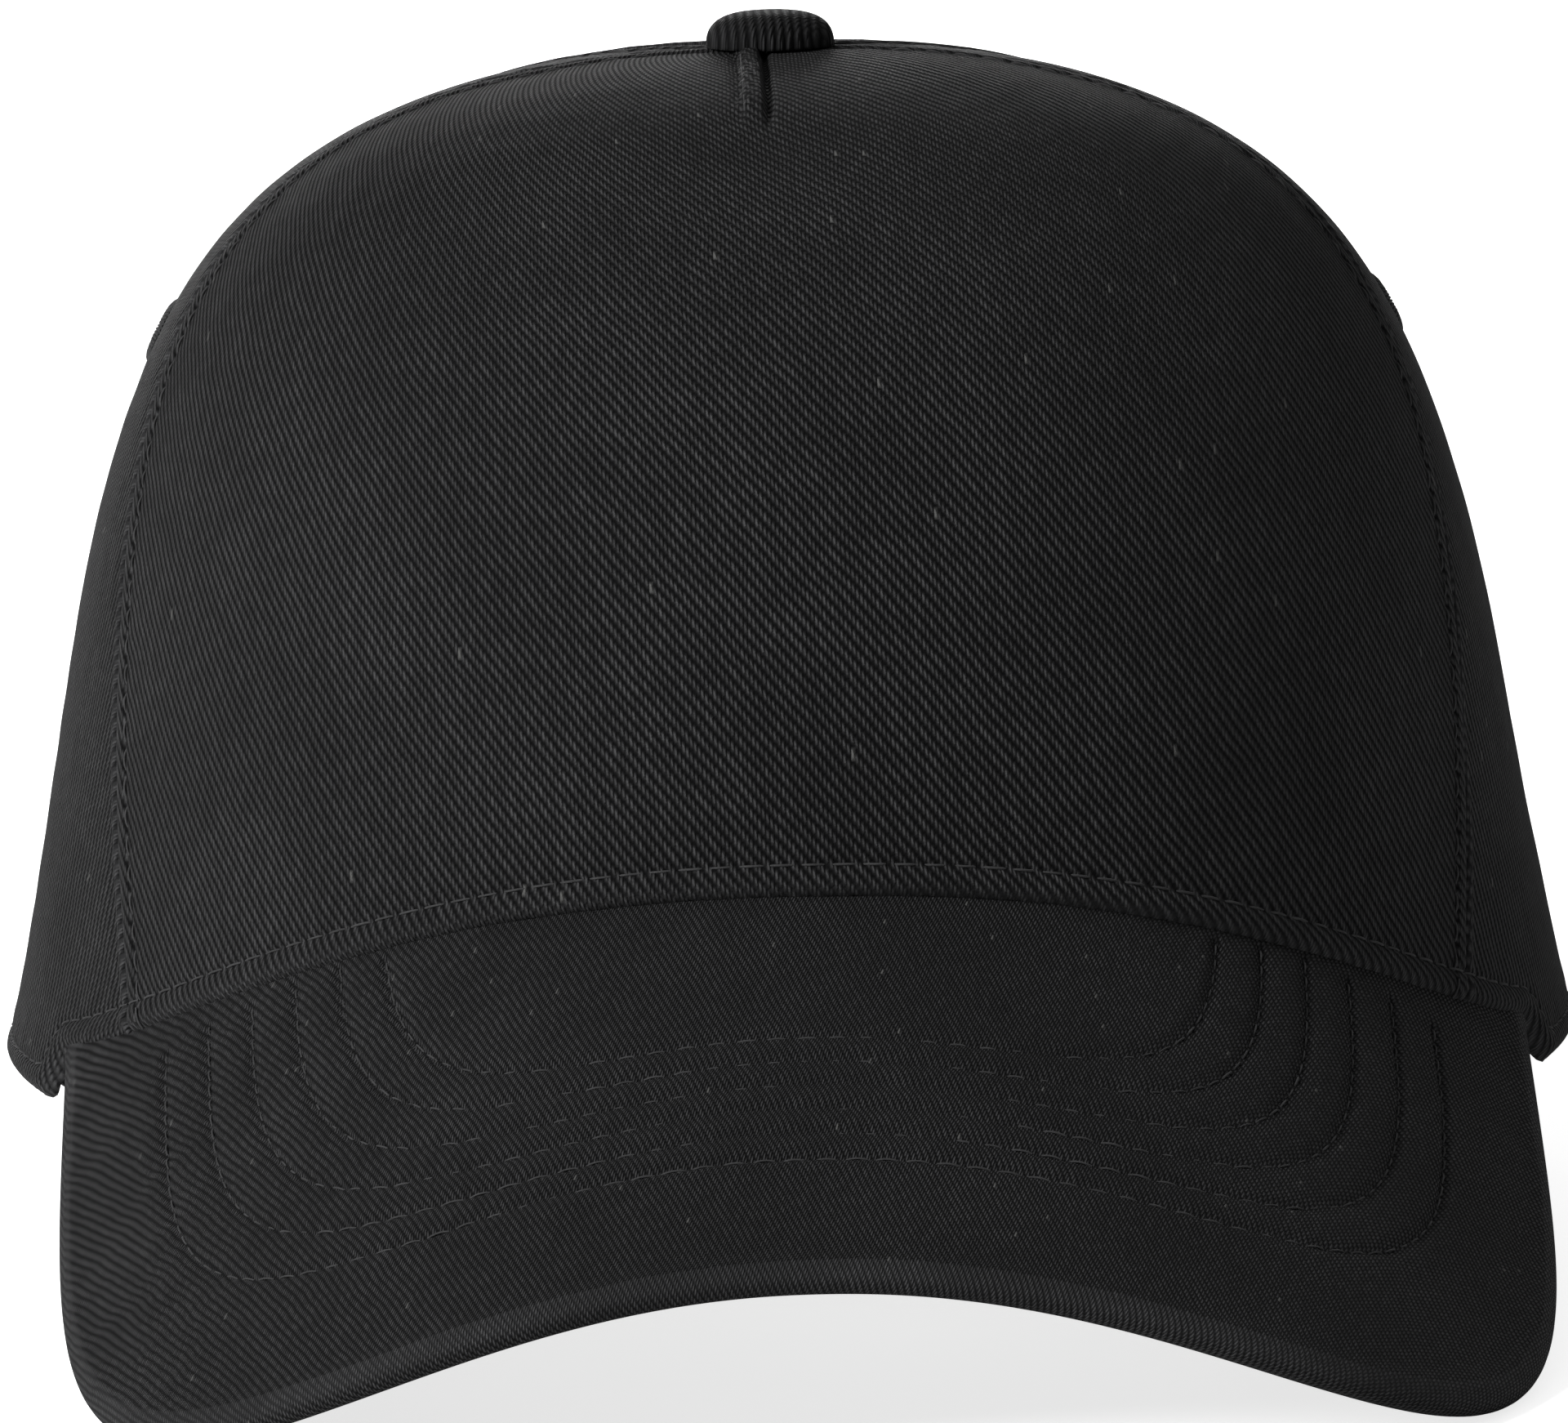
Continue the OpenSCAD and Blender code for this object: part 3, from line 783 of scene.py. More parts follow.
def twill_group() -> bpy.types.NodeTree:
    """Makes the twill weave: floats of warp yarn that step down one place from yarn to yarn.

    Returns:
        The group. Its height and its Shade run from 0 to 1, and its fleck marks a few pale fibres. Shade is
        painted shade and painted highlight: dark in the hollows between the floats, light on the float tops.
    """
    tree, n, got, out = new_group(
        "twill weave",
        [
            ("Cloth", "NodeSocketVector", None),
            ("Turn", "NodeSocketFloat", 0.0),
            ("Yarn", "NodeSocketFloat", 0.42),
            ("Step", "NodeSocketFloat", 0.52),
            ("Wale", "NodeSocketFloat", 0.5),
        ],
        ["Height", "Shade", "Fleck", "Worn"],
    )
    drift_scale, drift_reach, yarn_round, shade_power, fleck_chance = 0.11, 0.7, 0.92, 1.5, 0.9985
    threads_a_float = 3.0
    drift = n.add("ShaderNodeTexNoise", noise_dimensions="3D")
    n.feed(drift.inputs["Vector"], got.outputs["Cloth"])
    drift.inputs["Scale"].default_value = drift_scale
    drift.inputs["Detail"].default_value = 3.0
    moved = n.add("ShaderNodeVectorMath", operation="MULTIPLY_ADD")
    n.feed(moved.inputs[0], drift.outputs["Color"])
    moved.inputs[1].default_value = (drift_reach, drift_reach, 0.0)
    n.feed(moved.inputs[2], got.outputs["Cloth"])
    turned = n.add("ShaderNodeVectorRotate", rotation_type="Z_AXIS")
    n.feed(turned.inputs["Vector"], moved.outputs[0])
    n.feed(turned.inputs["Angle"], got.outputs["Turn"])
    parts = n.add("ShaderNodeSeparateXYZ")
    n.feed(parts.inputs[0], turned.outputs[0])
    a = n.math("DIVIDE", parts.outputs[0], got.outputs["Yarn"])
    yarn = n.math("ROUND", a)
    off = n.math("SUBTRACT", a, yarn)
    b = n.math(
        "DIVIDE",
        n.math("ADD", n.math("DIVIDE", parts.outputs[1], got.outputs["Step"]), yarn),
        threads_a_float,
    )
    pick = n.math("ROUND", b)
    along = n.math("ABSOLUTE", n.math("SUBTRACT", b, pick))
    round_yarn = n.math("COSINE", n.math("MULTIPLY", off, math.pi * yarn_round))
    floating = n.ramp(along, 0.5, 0.14, 0.0, 1.0)
    slope = n.math("ADD", n.math("DIVIDE", parts.outputs[1], got.outputs["Step"]), a)
    wale = n.math(
        "MULTIPLY_ADD", n.math("COSINE", n.math("MULTIPLY", slope, math.tau / threads_a_float)), 0.5, 0.5
    )
    float_height = n.math("MULTIPLY", round_yarn, floating)
    height = n.math(
        "MULTIPLY_ADD",
        wale,
        got.outputs["Wale"],
        n.math("MULTIPLY", float_height, n.math("SUBTRACT", 1.0, got.outputs["Wale"])),
    )
    cell = n.add("ShaderNodeCombineXYZ")
    n.feed(cell.inputs[0], yarn)
    n.feed(cell.inputs[1], pick)
    chance = n.add("ShaderNodeTexWhiteNoise", noise_dimensions="2D")
    n.feed(chance.inputs["Vector"], cell.outputs[0])
    uneven = n.math("POWER", chance.outputs["Value"], 2.0)
    cloudy = n.noise(got.outputs["Cloth"], 0.035, 4.0)
    fibre = n.noise(got.outputs["Cloth"], 4.2, 3.0)
    lift = n.math("MULTIPLY_ADD", uneven, 0.55, 0.62)
    # Painted shade and painted highlight: this colour follows the weave's height. It is darker in the hollows
    # between floats and lighter on the float tops, with a random lift per float.
    shade = n.math(
        "MULTIPLY",
        n.math("MULTIPLY", n.math("POWER", height, shade_power), lift),
        n.math("MULTIPLY_ADD", fibre, 1.9, 0.1),
    )
    n.feed(out.inputs["Height"], n.math("MULTIPLY_ADD", fibre, 0.35, height))
    n.feed(out.inputs["Shade"], shade)
    n.feed(
        out.inputs["Fleck"],
        n.math("MULTIPLY", n.math("GREATER_THAN", chance.outputs["Value"], fleck_chance), floating),
    )
    n.feed(out.inputs["Worn"], cloudy)
    return tree


def grid_group() -> bpy.types.NodeTree:
    """Makes a plain weave of crossing yarns.

    Returns:
        The group, whose height runs from 0 in the holes to 1 on the yarns.
    """
    tree, n, got, out = new_group(
        "plain weave",
        [("Cloth", "NodeSocketVector", None), ("Pitch", "NodeSocketFloat", 0.5)],
        ["Height", "Worn"],
    )
    parts = n.add("ShaderNodeSeparateXYZ")
    n.feed(parts.inputs[0], got.outputs["Cloth"])
    folded = []
    for k in (0, 1):
        turns = n.math("MULTIPLY", n.math("DIVIDE", parts.outputs[k], got.outputs["Pitch"]), math.pi)
        folded.append(n.math("ABSOLUTE", n.math("SINE", turns)))
    both = n.math("MAXIMUM", folded[0], folded[1])
    n.feed(out.inputs["Height"], n.math("MULTIPLY_ADD", n.noise(got.outputs["Cloth"], 2.2), 0.25, both))
    n.feed(out.inputs["Worn"], n.noise(got.outputs["Cloth"], 0.06, 3.0))
    return tree


@dataclass
class Groups:
    """The shader groups that the finishes share."""

    twill: bpy.types.NodeTree = field(default_factory=twill_group)
    grid: bpy.types.NodeTree = field(default_factory=grid_group)


def start_material(name: str) -> tuple[bpy.types.Material, Nodes, bpy.types.Node]:
    """Starts a material.

    Args:
        name: Name of the finish.

    Returns:
        The material, its writer and its shader node.
    """
    made = bpy.data.materials.new(name)
    made.use_nodes = True
    n = Nodes(made.node_tree)
    return made, n, made.node_tree.nodes["Principled BSDF"]


def put_bump(n: Nodes, shader: bpy.types.Node, height: object, depth: float, strength: float = 1.0) -> None:
    """Adds a bump of a real depth in metres to a shader.

    Args:
        n: The material's writer.
        shader: The shader node.
        height: The output that gives the height, from 0 to 1.
        depth: Depth in metres that the height stands for.
        strength: Share of the bump that shows.
    """
    made = n.add("ShaderNodeBump")
    made.inputs["Strength"].default_value = strength
    made.inputs["Distance"].default_value = depth
    n.feed(made.inputs["Height"], height)
    n.feed(shader.inputs["Normal"], made.outputs[0])


@dataclass(frozen=True)
class TwillFinish:
    """Black cotton twill, cut with its grain turned by an angle in degrees."""

    name: str
    turn: float = 0.0
    yarn: float = 0.47
    step: float = 0.59
    wale: float = 0.5
    low: tuple[float, float, float] = (0.0015, 0.0015, 0.0017)
    high: tuple[float, float, float] = (0.05, 0.05, 0.0515)
    depth: float = 0.52 * MM

    def build(self, groups: Groups) -> bpy.types.Material:
        """Builds the cloth.

        Args:
            groups: The shared shader groups.

        Returns:
            The material.
        """
        made, n, shader = start_material(self.name)
        cloth = n.add("ShaderNodeUVMap", uv_map="cloth")
        weave = n.add("ShaderNodeGroup", node_tree=groups.twill)
        n.feed(weave.inputs["Cloth"], cloth.outputs[0])
        weave.inputs["Turn"].default_value = math.radians(self.turn)
        weave.inputs["Yarn"].default_value = self.yarn
        weave.inputs["Step"].default_value = self.step
        weave.inputs["Wale"].default_value = self.wale
        edge = n.add("ShaderNodeAttribute", attribute_name="edge")
        # Painted shade and painted highlight: the weave's Shade output darkens the base colour in the hollows
        # between floats and lightens the float tops.
        colour = n.blend(weave.outputs["Shade"], (*self.low, 1.0), (*self.high, 1.0))
        lighter = n.blend(
            n.math("MULTIPLY", edge.outputs["Fac"], 0.35), colour, (*[2.2 * c for c in self.high], 1.0)
        )
        darker = n.blend(n.ramp(weave.outputs["Worn"], 0.35, 0.65, 0.0, 0.28), lighter, (*self.low, 1.0))
        flecked = n.blend(weave.outputs["Fleck"], darker, (0.075, 0.075, 0.073, 1.0))
        n.feed(shader.inputs["Base Color"], flecked)
        n.feed(shader.inputs["Roughness"], n.ramp(weave.outputs["Height"], 0.0, 1.0, 0.95, 0.68))
        shader.inputs["Specular IOR Level"].default_value = 0.1
        shader.inputs["Sheen Weight"].default_value = 0.015
        shader.inputs["Sheen Roughness"].default_value = 0.5
        put_bump(n, shader, weave.outputs["Height"], self.depth)
        return made


@dataclass(frozen=True)
class WovenFinish:
    """Plain woven cloth such as tape, lining or stiff backing."""

    name: str
    pitch: float
    low: tuple[float, float, float]
    high: tuple[float, float, float]
    depth: float = 0.15 * MM
    rough: float = 0.85

    def build(self, groups: Groups) -> bpy.types.Material:
        """Builds the woven cloth.

        Args:
            groups: The shared shader groups.

        Returns:
            The material.
        """
        made, n, shader = start_material(self.name)
        cloth = n.add("ShaderNodeUVMap", uv_map="cloth")
        weave = n.add("ShaderNodeGroup", node_tree=groups.grid)
        n.feed(weave.inputs["Cloth"], cloth.outputs[0])
        weave.inputs["Pitch"].default_value = self.pitch
        tone = n.math("MULTIPLY", weave.outputs["Height"], n.ramp(weave.outputs["Worn"], 0.3, 0.7, 0.75, 1.0))
        n.feed(
            shader.inputs["Base Color"],
            n.blend(n.ramp(tone, 0.3, 1.0, 0.0, 1.0), (*self.low, 1.0), (*self.high, 1.0)),
        )
        n.feed(shader.inputs["Roughness"], n.ramp(weave.outputs["Height"], 0.0, 1.0, 0.98, self.rough))
        shader.inputs["Specular IOR Level"].default_value = 0.25
        put_bump(n, shader, weave.outputs["Height"], self.depth)
        return made


class Grain(Enum):
    """What breaks up a plain surface."""

    THREAD = "thread"
    FOAM = "foam"
    MOULDED = "moulded"
    METAL = "metal"


@dataclass(frozen=True)
class GrainFinish:
    """A finish whose grain comes from its place on the object."""

    name: str
    grain: Grain
    colour: tuple[float, float, float]
    worn: tuple[float, float, float]
    rough: float
    metallic: float = 0.0
    scale: float = 900.0
    depth: float = 0.05 * MM

    def build(self, groups: Groups) -> bpy.types.Material:
        """Builds the finish.

        Args:
            groups: The shared shader groups, which this finish doesn't need.

        Returns:
            The material.
        """
        made, n, shader = start_material(self.name)
        place = n.add("ShaderNodeTexCoord").outputs["Object"]
        stretch = n.add("ShaderNodeMapping")
        n.feed(stretch.inputs["Vector"], place)
        if self.grain is Grain.METAL:
            stretch.inputs["Scale"].default_value = (1.0, 1.0, 14.0)
        fine = n.noise(stretch.outputs[0], self.scale, 4.0)
        broad = n.noise(place, self.scale * 0.12, 3.0)
        n.feed(
            shader.inputs["Base Color"],
            n.blend(n.ramp(broad, 0.38, 0.66, 0.0, 1.0), (*self.colour, 1.0), (*self.worn, 1.0)),
        )
        n.feed(
            shader.inputs["Roughness"], n.ramp(fine, 0.3, 0.7, self.rough - 0.08, min(1.0, self.rough + 0.1))
        )
        shader.inputs["Metallic"].default_value = self.metallic
        if self.grain is Grain.THREAD:
            shader.inputs["Sheen Weight"].default_value = 0.05
        put_bump(n, shader, fine, self.depth)
        return made


@dataclass
class Wardrobe:
    """Every finish of the cap."""

    groups: Groups = field(default_factory=Groups)
    made: dict[str, bpy.types.Material] = field(default_factory=dict)

    def sew_all(self) -> None:
        """Builds every finish once."""
        black = ((0.004, 0.004, 0.0045), (0.028, 0.028, 0.03))
        fine = {"turn": 19.0, "yarn": 0.3, "step": 0.38, "wale": 0.12, "depth": 0.32 * MM}
        finishes: list[TwillFinish | WovenFinish | GrainFinish] = [
            TwillFinish("front twill", turn=0.0),
            TwillFinish("left side twill", turn=46.0),
            TwillFinish("right side twill", turn=28.0),
            TwillFinish("back twill", turn=30.0),
            TwillFinish("visor twill", **fine),
            TwillFinish("under visor twill", **fine),
            TwillFinish("button twill", turn=35.0, high=(0.03, 0.03, 0.031)),
            TwillFinish("strap twill", turn=50.0),
            TwillFinish("sweatband twill", turn=20.0, high=(0.04, 0.04, 0.042)),
            WovenFinish("seam tape", 0.7, *black),
            WovenFinish("stiff backing", 1.3, (0.2, 0.2, 0.19), (0.62, 0.62, 0.59), 0.3 * MM),
            WovenFinish("satin label", 0.22, (0.55, 0.55, 0.53), (0.78, 0.78, 0.76), 0.05 * MM, 0.45),
            WovenFinish("binding tape", 0.5, *black),
            GrainFinish(
                "sewing thread",
                Grain.THREAD,
                (0.012, 0.012, 0.0125),
                (0.022, 0.022, 0.023),
                0.8,
                scale=2600.0,
                depth=0.04 * MM,
            ),
            GrainFinish(
                "open foam",
                Grain.FOAM,
                (0.5, 0.49, 0.46),
                (0.62, 0.61, 0.58),
                0.95,
                scale=1500.0,
                depth=0.25 * MM,
            ),
            GrainFinish(
                "visor board", Grain.MOULDED, (0.03, 0.03, 0.032), (0.045, 0.045, 0.047), 0.5, scale=500.0
            ),
            GrainFinish(
                "plated steel",
                Grain.METAL,
                (0.52, 0.52, 0.53),
                (0.38, 0.37, 0.36),
                0.3,
                1.0,
                700.0,
                0.01 * MM,
            ),
            GrainFinish(
                "clasp metal", Grain.METAL, (0.6, 0.59, 0.57), (0.34, 0.33, 0.31), 0.26, 1.0, 900.0, 0.01 * MM
            ),
        ]
        for finish in finishes:
            self.made[finish.name] = finish.build(self.groups)

    def dress(self, piece: bpy.types.Object, name: str) -> bpy.types.Object:
        """Gives a piece one finish.

        Args:
            piece: The piece.
            name: Name of the finish.

        Returns:
            The piece.
        """
        piece.data.materials.clear()
        piece.data.materials.append(self.made[name])
        return piece


# Stitches


@dataclass
class StitchRun:
    """Places of a run of stitches: points, directions along the seam, and directions out of the cloth."""

    points: Array
    along: Array
    up: Array

    @staticmethod
    def on_line(line: Array, outward: Array, pitch: float, lift: float = 0.0) -> "StitchRun":
        """Lays stitches on a line.

        Args:
            line: Points along the seam.
            outward: Directions out of the cloth at those points.
            pitch: Length of a stitch with its gap.
            lift: How far the stitches lie out of the line.

        Returns:
            The run.
        """
        run = lengths(line[:, None, :], 0)[:, 0]
        points, along = resample(line, pitch)
        stops = np.arange(pitch * 0.5, run[-1], pitch)
        up = unit(np.stack([np.interp(stops, run, outward[:, k]) for k in range(3)], axis=-1))
        return StitchRun(points + lift * up, along, up)


def stitch_tree() -> bpy.types.NodeTree:
    """Makes the tree that lays one bowed thread on each point.

    Returns:
        The tree, with the thread's sizes, a seed and a material as inputs.
    """
    tree = bpy.data.node_groups.new("stitches", "GeometryNodeTree")
    face = tree.interface
    face.new_socket(name="Geometry", in_out="INPUT", socket_type="NodeSocketGeometry")
    for label, value in (
        ("Length", 2.6 * MM), ("Thread", 0.36 * MM), ("Bow", 0.2 * MM), ("Sink", 0.2 * MM), ("Uneven", 0.1)
    ):
        face.new_socket(name=label, in_out="INPUT", socket_type="NodeSocketFloat").default_value = value
    face.new_socket(name="Seed", in_out="INPUT", socket_type="NodeSocketInt").default_value = 3
    face.new_socket(name="Material", in_out="INPUT", socket_type="NodeSocketMaterial")
    face.new_socket(name="Geometry", in_out="OUTPUT", socket_type="NodeSocketGeometry")
    n = Nodes(tree)
    got, out = n.add("NodeGroupInput"), n.add("NodeGroupOutput")

    def corner(x: object, z: object) -> bpy.types.NodeSocket:
        """Makes a point of the thread's middle line.

        Args:
            x: Its place along the seam.
            z: Its place out of the cloth.

        Returns:
            The output.
        """
        made = n.add("ShaderNodeCombineXYZ")
        n.feed(made.inputs[0], x)
        n.feed(made.inputs[2], z)
        return made.outputs[0]

    half = n.math("MULTIPLY", got.outputs["Length"], 0.5)
    low = n.math("MULTIPLY", got.outputs["Sink"], -1.0)
    curve = n.add("GeometryNodeCurveQuadraticBezier")
    curve.inputs["Resolution"].default_value = 5
    n.feed(curve.inputs["Start"], corner(n.math("MULTIPLY", half, -1.0), low))
    n.feed(
        curve.inputs["Middle"],
        corner(0.0, n.math("MULTIPLY_ADD", got.outputs["Bow"], 2.0, got.outputs["Sink"])),
    )
    n.feed(curve.inputs["End"], corner(half, low))
    ring = n.add("GeometryNodeCurvePrimitiveCircle")
    ring.inputs["Resolution"].default_value = 6
    n.feed(ring.inputs["Radius"], n.math("MULTIPLY", got.outputs["Thread"], 0.5))
    thread = n.add("GeometryNodeCurveToMesh")
    n.feed(thread.inputs["Curve"], curve.outputs[0])
    n.feed(thread.inputs["Profile Curve"], ring.outputs[0])
    thread.inputs["Fill Caps"].default_value = True
    smooth = n.add("GeometryNodeSetShadeSmooth")
    n.feed(smooth.inputs["Geometry"], thread.outputs[0])
    points = n.add("GeometryNodeMeshToPoints")
    n.feed(points.inputs["Mesh"], got.outputs["Geometry"])
    turns: object = None
    for key, axis, pivot in (("along", "X", "AUTO"), ("up", "Z", "X")):
        named = n.add("GeometryNodeInputNamedAttribute", data_type="FLOAT_VECTOR")
        named.inputs["Name"].default_value = key
        turn = n.add("FunctionNodeAlignRotationToVector", axis=axis, pivot_axis=pivot)
        n.feed(turn.inputs["Vector"], named.outputs[0])
        if turns is not None:
            n.feed(turn.inputs["Rotation"], turns)
        turns = turn.outputs[0]
    chance = n.add("FunctionNodeRandomValue", data_type="FLOAT")
    n.feed(chance.inputs[2], n.math("SUBTRACT", 1.0, got.outputs["Uneven"]))
    n.feed(chance.inputs[3], n.math("ADD", 1.0, got.outputs["Uneven"]))
    n.feed(chance.inputs["Seed"], got.outputs["Seed"])
    laid = n.add("GeometryNodeInstanceOnPoints")
    n.feed(laid.inputs["Points"], points.outputs[0])
    n.feed(laid.inputs["Instance"], smooth.outputs[0])
    n.feed(laid.inputs["Rotation"], turns)
    n.feed(laid.inputs["Scale"], chance.outputs[1])
    real = n.add("GeometryNodeRealizeInstances")
    n.feed(real.inputs[0], laid.outputs[0])
    dressed = n.add("GeometryNodeSetMaterial")
    n.feed(dressed.inputs["Geometry"], real.outputs[0])
    n.feed(dressed.inputs["Material"], got.outputs["Material"])
    n.feed(out.inputs[0], dressed.outputs[0])
    return tree


@dataclass
class Seamstress:
    """Sews runs of stitches with one node tree."""

    wardrobe: Wardrobe
    tree: bpy.types.NodeTree = field(default_factory=stitch_tree)

    def sew(
        self,
        name: str,
        runs: Sequence[StitchRun],
        length: float,
        thread: float,
        bow: float = 0.16 * MM,
        sink: float = 0.16 * MM,
        uneven: float = 0.1,
        seed: int = 3,
    ) -> bpy.types.Object:
        """Sews runs of stitches into one mesh.

        Args:
            name: Name of the piece.
            runs: The runs.
            length: Length of a stitch that shows.
            thread: Thickness of the thread.
            bow: How far a stitch's middle stands out.
            sink: How far its ends go into the cloth.
            uneven: How much the stitches' sizes differ.
            seed: Seed of that difference.

        Returns:
            The mesh object.
        """
        mesh = bpy.data.meshes.new(name + "_guide")
        points = np.concatenate([r.points for r in runs])
        mesh.from_pydata(points.tolist(), [], [])
        for key, rows in (("along", [r.along for r in runs]), ("up", [r.up for r in runs])):
            made = mesh.attributes.new(key, "FLOAT_VECTOR", "POINT")
            made.data.foreach_set("vector", np.concatenate(rows).astype(np.float32).ravel())
        guide = bpy.data.objects.new(name + "_guide", mesh)
        bpy.context.scene.collection.objects.link(guide)
        modifier = guide.modifiers.new("stitches", "NODES")
        modifier.node_group = self.tree
        wanted = {
            "Length": length,
            "Thread": thread,
            "Bow": bow,
            "Sink": sink,
            "Uneven": uneven,
            "Seed": seed,
            "Material": self.wardrobe.made["sewing thread"],
        }
        for item in self.tree.interface.items_tree:
            if item.in_out == "INPUT" and item.name in wanted:
                modifier[item.identifier] = wanted[item.name]
        return bake(guide, name)


def bake(guide: bpy.types.Object, name: str) -> bpy.types.Object:
    """Turns what a guide's modifiers make into a plain mesh, and removes the guide.

    Args:
        guide: The object with the modifiers.
        name: Name of the new piece.

    Returns:
        The new mesh object.
    """
    graph = bpy.context.evaluated_depsgraph_get()
    mesh = bpy.data.meshes.new_from_object(
        guide.evaluated_get(graph), preserve_all_data_layers=True, depsgraph=graph
    )
    mesh.name = name
    for key in ("along", "up"):
        if key in mesh.attributes:
            mesh.attributes.remove(mesh.attributes[key])
    made = bpy.data.objects.new(name, mesh)
    bpy.context.scene.collection.objects.link(made)
    bpy.data.objects.remove(guide)
    return made


# Crown


@dataclass
class Panel:
    """One cloth panel of the crown, laid out as columns from its first seam to its last."""

    name: str
    line: Line
    cols: Array
    rows: Array
    first: str = "seam"
    last: str = "seam"
    hem_w: float = 3.6 * MM
    stitch_w: float = 2.7 * MM
    top_r: float = 3.6 * MM
    seed: int = 1
    holes: Sequence[tuple[float, float]] = ()
    centre_a: float = -90.0
    hole_r: float = 2.6 * MM
    hem_pitch: float = 7.1 * MM
    hem_h: float = 0.55 * MM
    turned_h: float = 0.3 * MM
    turned_w: tuple[float, float] = (2.0 * MM, 3.6 * MM)
    edge_h: float = 0.95 * MM
    edge_w: float = 0.8 * MM
    seam_pitch: float = 6.3 * MM
    bead_pitch: float = 1.15 * MM
    swell: tuple[float, float] = (0.16 * MM, 38 * MM)
    ripple: tuple[float, float] = (0.04 * MM, 9 * MM)
    free_a: tuple[float, float, float, float] = (-29, -22, 53, 59)
    roll: tuple[float, float] = (1.35 * MM, 2.5 * MM)
    roll_w: tuple[float, float] = (1.5 * MM, 3.6 * MM)

    def lay(self) -> None:
        """Lays the panel's plain outer face and measures it."""
        low = RIM.settle(self.line, self.cols, 0.0, 0.0)
        top = CROWN.place_of_radius(self.top_r)
        t = mix(low[:, None], top, self.rows[None, :])
        u = self.line(np.broadcast_to(self.cols[:, None], t.shape), t)
        self.u, self.t = u, t
        self.plain = CROWN.point(u, t)
        self.out = CROWN.outward(u, t)
        self.hem, self.hem_run = near_line(self.plain, self.plain[:, 0])
        self.left, self.left_run = near_line(self.plain, self.plain[0])
        self.right, self.right_run = near_line(self.plain, self.plain[-1])
        start = CROWN.point(u[:, :1], np.zeros_like(u[:, :1]))
        rise = lengths(np.concatenate([start, self.plain], axis=1), 1)[:, 1:]
        mid_u = self.line(np.full(t.shape, 0.5), t)
        radius = CROWN.oval(mid_u, 0.0) * CROWN.share(u, t)
        sideways = np.radians(u - self.centre_a) * radius
        self.uv = np.stack([sideways, rise], axis=-1) / MM

    def relief(self) -> Array:
        """Works out how far the cloth stands out of its plain face.

        Returns:
            Distances, in metres.
        """
        u, v = self.uv[..., 0] * MM, self.uv[..., 1] * MM
        (broad_h, broad_w), (fine_h, fine_w) = self.swell, self.ripple
        h = broad_h * waves(u, v, self.seed, broad_w) + fine_h * waves(u, v, self.seed + 9, fine_w)
        for dist, run, kind in (
            (self.left, self.left_run, self.first), (self.right, self.right_run, self.last)
        ):
            h = h + self.edge(dist, run, kind)
        pucker = 0.5 + 0.5 * np.sin(
            self.hem_run * 2 * np.pi / self.hem_pitch + 1.7 * np.sin(self.hem_run / (11 * MM))
        )
        h = h + self.hem_h * bump_at(self.hem, 0.45 * self.hem_w, 0.42 * self.hem_w)
        h = h - (0.24 + 0.1 * pucker) * MM * bump_at(self.hem, self.hem_w, 0.34 * MM)
        h = h + 0.12 * MM * pucker * bump_at(self.hem, self.hem_w + 1.8 * MM, 1.6 * MM)
        return h - self.rolled()

    def rolled(self) -> Array:
        """Works out how far the lower edge turns under, most where it hangs free beside the head.

        Returns:
            Distances into the crown.
        """
        a = np.where(np.cos(np.radians(self.u)) > 0, self.u, 180 - self.u)
        free = ease(*self.free_a[:2], a) * (1 - ease(*self.free_a[2:], a))
        reach = mix(*self.roll_w, free)
        return mix(*self.roll, free) * (1 - np.sqrt(1 - (1 - np.clip(self.hem / reach, 0, 1)) ** 2))

    def edge(self, dist: Array, run: Array, kind: str) -> Array:
        """Works out the relief along one seam.

        Args:
            dist: Distance from the seam.
            run: Distance run along it.
            kind: "topped" for a turned edge with a row of stitches, or "seam" for a bare one.

        Returns:
            Distances out of the plain face.
        """
        pucker = 0.5 + 0.5 * np.sin(run * 2 * np.pi / self.seam_pitch + 1.3 * np.sin(run / (9 * MM)))
        rolled = 1 - np.sqrt(1 - (1 - np.clip(dist / self.edge_w, 0, 1)) ** 2)
        h = -self.edge_h * rolled
        if kind == "topped":
            h = h + self.turned_h * (1 - ease(*self.turned_w, dist))
            h = h - (0.2 + 0.1 * pucker) * MM * bump_at(dist, self.stitch_w, 0.32 * MM)
            return h + 0.1 * MM * pucker * bump_at(dist, self.stitch_w + 1.6 * MM, 1.3 * MM)
        beads = 0.5 + 0.5 * np.sin(run * 2 * np.pi / self.bead_pitch)
        h = h + (0.22 + 0.1 * beads) * MM * bump_at(dist, 0.9 * MM, 0.55 * MM)
        return h - 0.1 * MM * bump_at(dist, 2.6 * MM, 0.9 * MM) * pucker

    def build(self, relief: Array | None = None) -> bpy.types.Object:
        """Builds the panel's outer face with a plain inner face behind it.

        Args:
            relief: Further distances out of the plain face.

        Returns:
            The mesh object.
        """
        h = self.relief() + (0.0 if relief is None else relief)
        self.outer = self.plain + h[..., None] * self.out
        followed = np.maximum(self.rolled() - 1.0 * MM, 0)[..., None] * self.out
        inner = CROWN.point(self.u, self.t, CROWN.cloth_t) - followed
        worn = 0.5 * bump_at(self.hem, 0.3 * MM, 0.9 * MM)
        for dist in (self.left, self.right):
            worn = worn + 0.45 * bump_at(dist, 0.7 * MM, 0.5 * MM)
        middles = [CROWN.point(np.array(a), np.array(t)) for a, t in self.holes]
        return slab(self.name, self.outer, inner, self.uv, worn, middles, self.hole_r)

